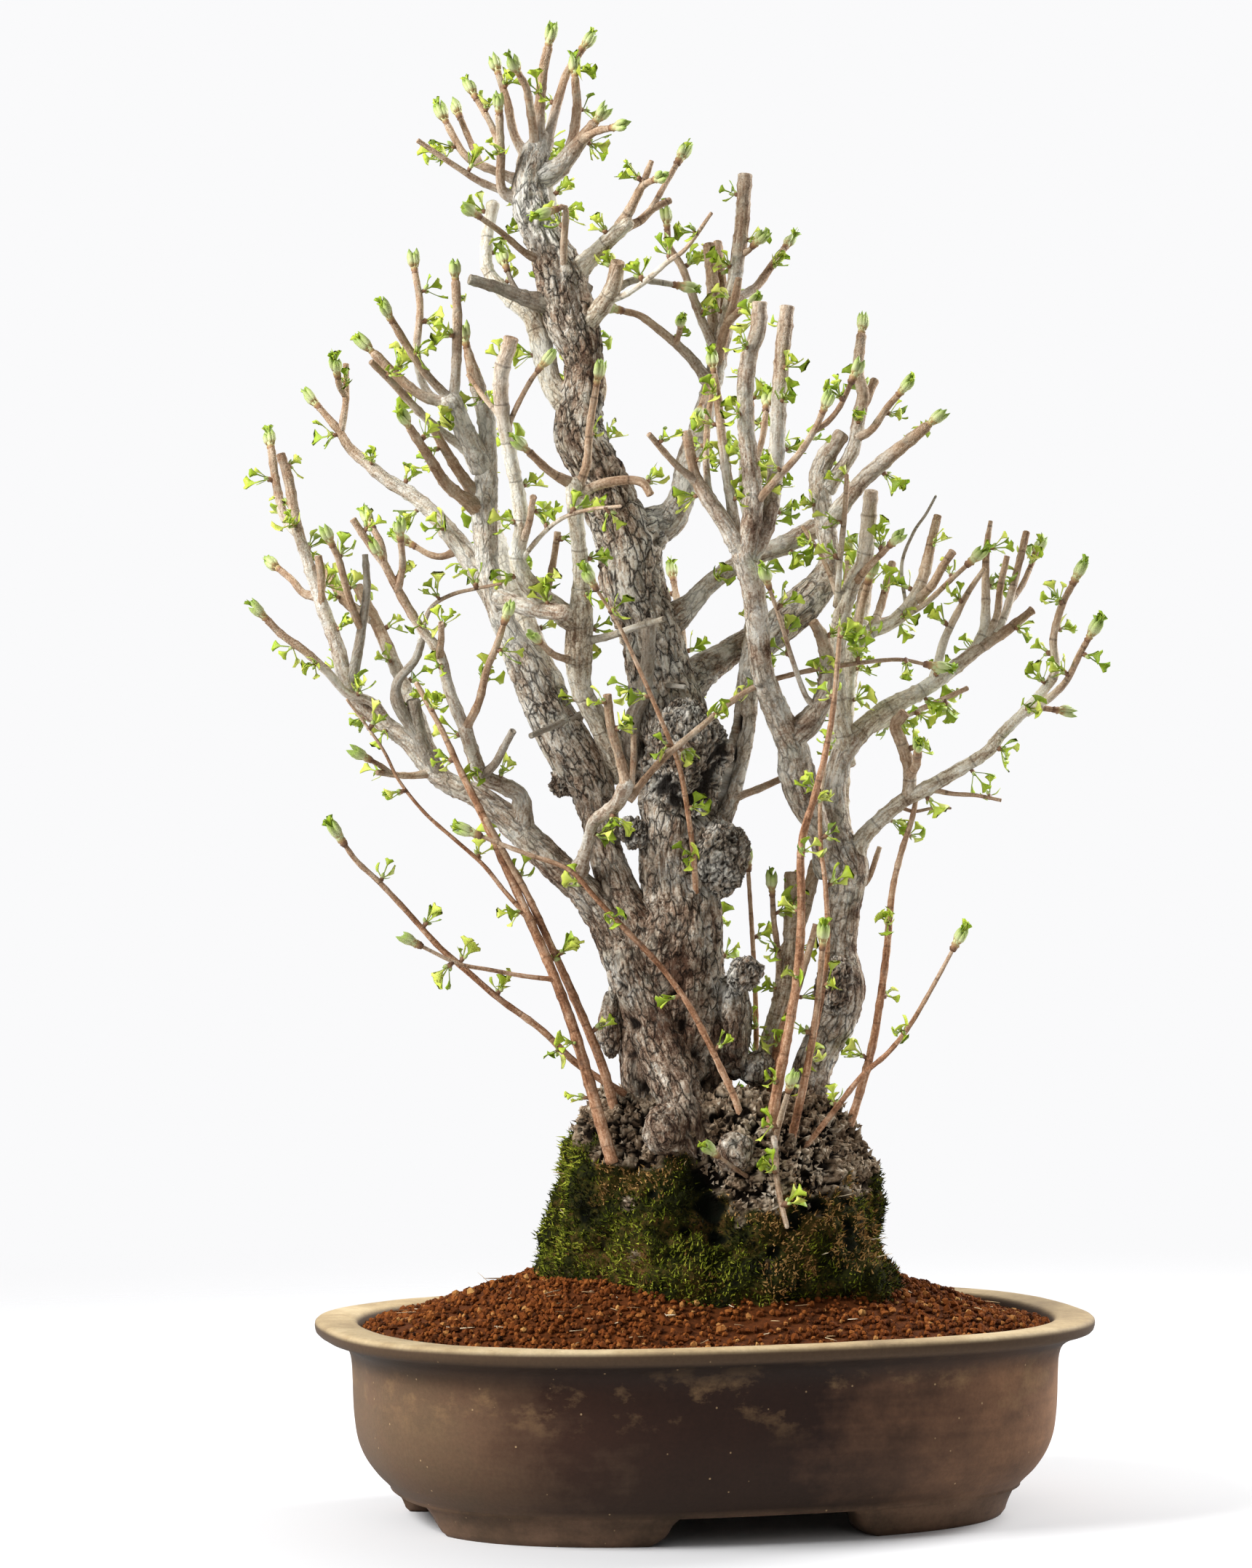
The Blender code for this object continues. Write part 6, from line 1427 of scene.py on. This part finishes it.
profile, _ = even_steps(np.column_stack([POT_PROFILE[:, 0] / 2, POT_PROFILE[:, 1], 0 * POT_PROFILE[:, 0]]), 2.0)
flat = np.abs(np.gradient(profile[:, 1])) < 0.05
keep = ~flat | (np.arange(len(profile)) % 8 == 0) | (np.arange(len(profile)) == len(profile) - 1)
length, height = 2 * profile[keep, 0], profile[keep, 1]
wall = oval_points(length, height, around(180))
normal = grid_normals(wall)
outer = ease(length, 380, 430)[:, None]
wobble = 0.45 * swell(wall, 60.0, 101) + 0.14 * swell(wall, 14.0, 102)
wall[..., 2] += 0.7 * swell(wall, 90.0, 103) * ease(height, 60, 110)[:, None]
wall = wall - normal * (wobble * outer)[..., None]
pot = Gather()
pot.add(wall)
print("pot rings and columns:", wall.shape[:2])

# %% The feet
ARCH_HALF_LONG, ARCH_SLANT_LONG, ARCH_HALF_SHORT, ARCH_SLANT_SHORT = 48.0, 24.0, 36.0, 14.0
FOOT_LENGTH, FOOT_TOP_LENGTH, FOOT_THICK = 370.0, 388.0, 14.0


def corner_foot(quarter, steps=36, rows=16):
    """A run of the oval between two arches; its ends round over, then slant out to the floor."""
    mirror = np.array([1 if quarter in (0, 3) else -1, 1 if quarter in (0, 1) else -1, 1])
    up = np.linspace(0.0, 1.0, rows)
    length = FOOT_LENGTH + (FOOT_TOP_LENGTH - FOOT_LENGTH) * up ** 1.5
    ogee = (1 - up) - 0.1 * np.sin(2 * np.pi * up) + 0.25 * ease(up, 0.72, 1.0) ** 2
    half_long, half_wide = length / 2.0, oval_width(length) / 2.0
    start = np.arcsin(((ARCH_HALF_SHORT + ARCH_SLANT_SHORT * ogee) / half_wide) ** (OVAL_POWER / 2.0))
    end = np.arccos(((ARCH_HALF_LONG + ARCH_SLANT_LONG * ogee) / half_long) ** (OVAL_POWER / 2.0))
    turn = start[:, None] + (end - start)[:, None] * np.linspace(0, 1, steps)[None]
    wide, deep = super_oval(turn)
    height = (up * (FOOT_HEIGHT + 3.0))[:, None] + 0 * turn
    soft = 1.6 * (1 - ease(up, 0.0, 0.14))[:, None]
    outside, inside = (np.stack([(half_long[:, None] - thick + inset) * wide,
                                 (half_wide[:, None] - thick + inset) * deep, height], -1)
                       for thick, inset in ((0.0, -soft), (FOOT_THICK, soft)))
    ring = np.concatenate([outside, inside[:, ::-1]], axis=1)
    if mirror[0] * mirror[1] < 0:
        ring = ring[:, ::-1]
    return ring * mirror + POT_MIDDLE


for quarter in range(4):
    pot.add(corner_foot(quarter))


def stoneware(name):
    """Unglazed brown clay with pale drips and specks; painted shade turns it dark olive-brown towards the foot,
    darkens it under the lip and in the middle of its length, and a painted highlight makes the lip's top pale tan.
    """
    made, node = new_material(name, 0.7, 0.22)
    body = node("TexCoord", out="Object")
    level, side = (node("SeparateXYZ", body, out=axis) for axis in "ZX")
    patch = noise(node, body, 0.09, 5.0, 0.6)
    cloud = noise(node, body, 0.02, 6.0, 0.65)
    grain = noise(node, body, 0.0022, 6.0, 0.7)
    wipe = node("Mapping", body, Scale=(1.0, 1.0, 11.0))
    wipe = noise(node, wipe, 0.07, 5.0)
    tone = node("Mix", 0.3, None, node("Mix", 0.22, None, patch, wipe), cloud)
    shift = node("Math SUBTRACT", tone, 0.5)
    # Painted light and shade: spot runs along the pot's length, so the ramp makes the middle dark and both ends
    # paler.
    spot = node("Math MULTIPLY_ADD", shift, 0.6, node("MapRange", side, -0.25, 0.25))
    clay_with_side_shade = node("ValToRGB", spot, stops="0.1 #66503a, 0.2 #5c4431, 0.34 #2f1a0f, 0.58 #27150c, "
                                         "0.78 #5f4330, 0.95 #835f43")
    shade = node("MapRange", shift, -0.12, 0.12, 0.78, 1.25)
    clay_with_side_shade = node("VectorMath SCALE", clay_with_side_shade, Scale=shade)
    # Painted shade: low darkens the wall towards the foot and under darkens it below the lip; band, edge and feet are
    # the clay's own bands.
    low, band, under, edge, feet = (node("MapRange", level, start, end, 0.0, amount) for start, end, amount in (
        (0.07, 0.02, 0.4), (0.06, 0.09, 0.55), (0.094, 0.107, 0.85), (0.1105, 0.1135, 0.9), (0.022, 0.017, 0.75)))
    drip = node("Mapping", body, Scale=(1.0, 1.0, 1.5), Location=(0.3, 0.1, 0.0))
    drip = noise(node, drip, 0.034, 7.0, 0.66)
    drip = node("Math MULTIPLY", node("MapRange", drip, 0.53, 0.64), band)
    clay = node("ValToRGB", tone, stops="0.42 #453526, 0.56 #6d5441")
    # Painted highlight: the lip's top turns pale tan, where the light falls on it from above.
    high = node("MapRange", level, 0.1175, 0.1208, interpolation_type="SMOOTHSTEP")
    lip_top_highlight = node("ValToRGB", tone, stops="0.38 #8f7a5c, 0.5 #ae9873, 0.62 #c8b48f")
    colour = layers(node, clay_with_side_shade, (low, "#332a20"), (drip, "#8a6c4a"), (under, "#1f150e"),
                    (edge, "#4c3a29"), (feet, clay), (high, lip_top_highlight))
    fleck = node("MapRange", grain, 0.3, 0.7, 0.86, 1.12)
    colour = node("VectorMath SCALE", colour, Scale=fleck)
    speck = node("TexVoronoi", body, Scale=1 / 0.011, out="Distance")
    colour = layers(node, colour, (node("MapRange", speck, 0.07, 0.03), "#a48863"))
    height = node("Math MULTIPLY_ADD", wipe, 0.6, grain)
    return finish(made, node, colour, height, 0.3, 0.5 * MM)


pot_clay = stoneware("unglazed_stoneware_with_painted_light")
pot_piece = pot.piece("pot_wall", pot_clay, ["pot"])
print("pot triangles:", totals["pot_wall"])

# %% [markdown]
# ## Drain holes
#
# Water leaves through two round holes in the floor, each under a square of mesh. The holes are
# cut from the finished wall with a Boolean, because a round hole through a flat floor is the one
# shape here that a single swept profile can't make.

# %% Cut the drain holes
DRAIN_ACROSS, DRAIN_RADIUS = 82.0, 12.0
cutters = Gather()
rim = circle(around(48), np.array([1, 0, 0]), np.array([0, 1, 0]), DRAIN_RADIUS)
for middle in (-DRAIN_ACROSS, DRAIN_ACROSS):
    cutters.add(np.stack([rim + [middle, 0, level] + POT_MIDDLE for level in (8.0, 40.0)]))
cutter = cutters.piece("drain_cutter", pot_clay, smooth=False)
del totals["drain_cutter"]
drill = pot_piece.modifiers.new("drain_holes", "BOOLEAN")
drill.object, drill.operation, drill.solver = cutter, "DIFFERENCE", "EXACT"
bpy.context.view_layer.update()
seen = pot_piece.evaluated_get(bpy.context.evaluated_depsgraph_get())
drilled = bpy.data.meshes.new_from_object(seen)
pot_piece.modifiers.clear()
pot_piece.data = drilled
bpy.data.objects.remove(cutter)
print("pot faces after drilling:", len(drilled.polygons))

# %% [markdown]
# ## Drain screens
#
# The screens are plastic netting, cut square. Their solids are right as they are, so they keep
# their shape and only get the look of dull moulded plastic with a film of clay.

# %% Drain screens
net, node = new_material("moulded_drain_netting", 0.55, 0.45)
film = noise(node, node("TexCoord", out="Object"), 0.006, 4.0)
plug(net.node_tree.nodes["Principled BSDF"],
     {"Base Color": node("ValToRGB", film, stops="0.4 #26221f, 0.7 #5a4232")})
for name in ("drain_screen_left", "drain_screen_right"):
    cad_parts[name].data.materials.clear()
    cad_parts[name].data.materials.append(net)
print("screens finished")

# %% [markdown]
# ## Floor, light and camera
#
# The tree stands on a plain pale floor under soft studio light. The floor fades out a metre and
# a half from the tree, so that it runs into the almost white surroundings with no horizon. The
# surroundings are bright behind the tree and dim in front of it, as before a lit wall. A large
# soft light from the left shapes the trunk, one from the right rims the limbs and a weak one
# fills from the front. The camera looks level from nearly three metres, so that limbs near and
# far keep their sizes.

# %% Floor, lights and camera
paint, node = new_material("matt_floor_paint", 0.95, 0.0, Base_Color=linear("#dfdfe0"))
apart = node("VectorMath LENGTH", node("TexCoord", out="Object"), out="Value")
fade = node("MapRange", apart, 0.5, 1.7, interpolation_type="SMOOTHSTEP")
opaque = paint.node_tree.nodes["Principled BSDF"].outputs[0]
mixed = node("MixShader", fade, opaque, node("BsdfTransparent"))
plug(paint.node_tree.nodes["Material Output"], {"Surface": mixed})
floor_mesh = bpy.data.meshes.new("floor")
FLOOR_HALF = 1.8
floor_mesh.from_pydata([(x * FLOOR_HALF, y * FLOOR_HALF, 0) for x, y in ((-1, -1), (1, -1), (1, 1), (-1, 1))],
                       [], [(0, 1, 2, 3)])
floor_mesh.materials.append(paint)
put("floor", floor_mesh)

world = bpy.data.worlds.new("studio")
bpy.context.scene.world = world
world.use_nodes = True
node = functools.partial(add_node, world.node_tree)
ahead = node("VectorMath DOT_PRODUCT", node("TexCoord", out="Generated"), BACKWARDS, out="Value")
glow = node("MapRange", ahead, -0.3, 0.9, 0.16, interpolation_type="SMOOTHSTEP")
plug(world.node_tree.nodes["Background"], {"Color": linear("#fafafb"), "Strength": glow})


def soft_light(name, at, aim, size, power):
    """A square light of this size in metres, turned from its place to its aim."""
    data = bpy.data.lights.new(name, "AREA")
    data.size, data.energy = size, power
    made = put(name, data)
    made.location = at
    x, y, z = np.array(aim) - np.array(at)
    made.rotation_euler = (math.atan2(math.hypot(x, y), -z), 0.0, math.pi + math.atan2(x, -y))


soft_light("key", (-2.0, -0.4, 1.7), (0, 0, 0.45), 1.0, 92.0)
soft_light("rim", (1.9, 0.5, 1.5), (0, 0, 0.5), 1.0, 68.0)
soft_light("fill", (-0.4, -2.4, 1.6), (0, 0, 0.4), 1.8, 9.0)
camera_data = bpy.data.cameras.new("camera")
camera_data.lens, camera_data.sensor_width = 103.9, 36.0
camera = put("camera", camera_data)
camera.location = (-0.80145, -2.69065, 0.450)
camera.rotation_euler = (math.radians(90.0), 0.0, -POT_TURN)
bpy.context.scene.camera = camera
bpy.context.scene.view_settings.view_transform = "Standard"
print("all triangles:", sum(totals.values()), totals)
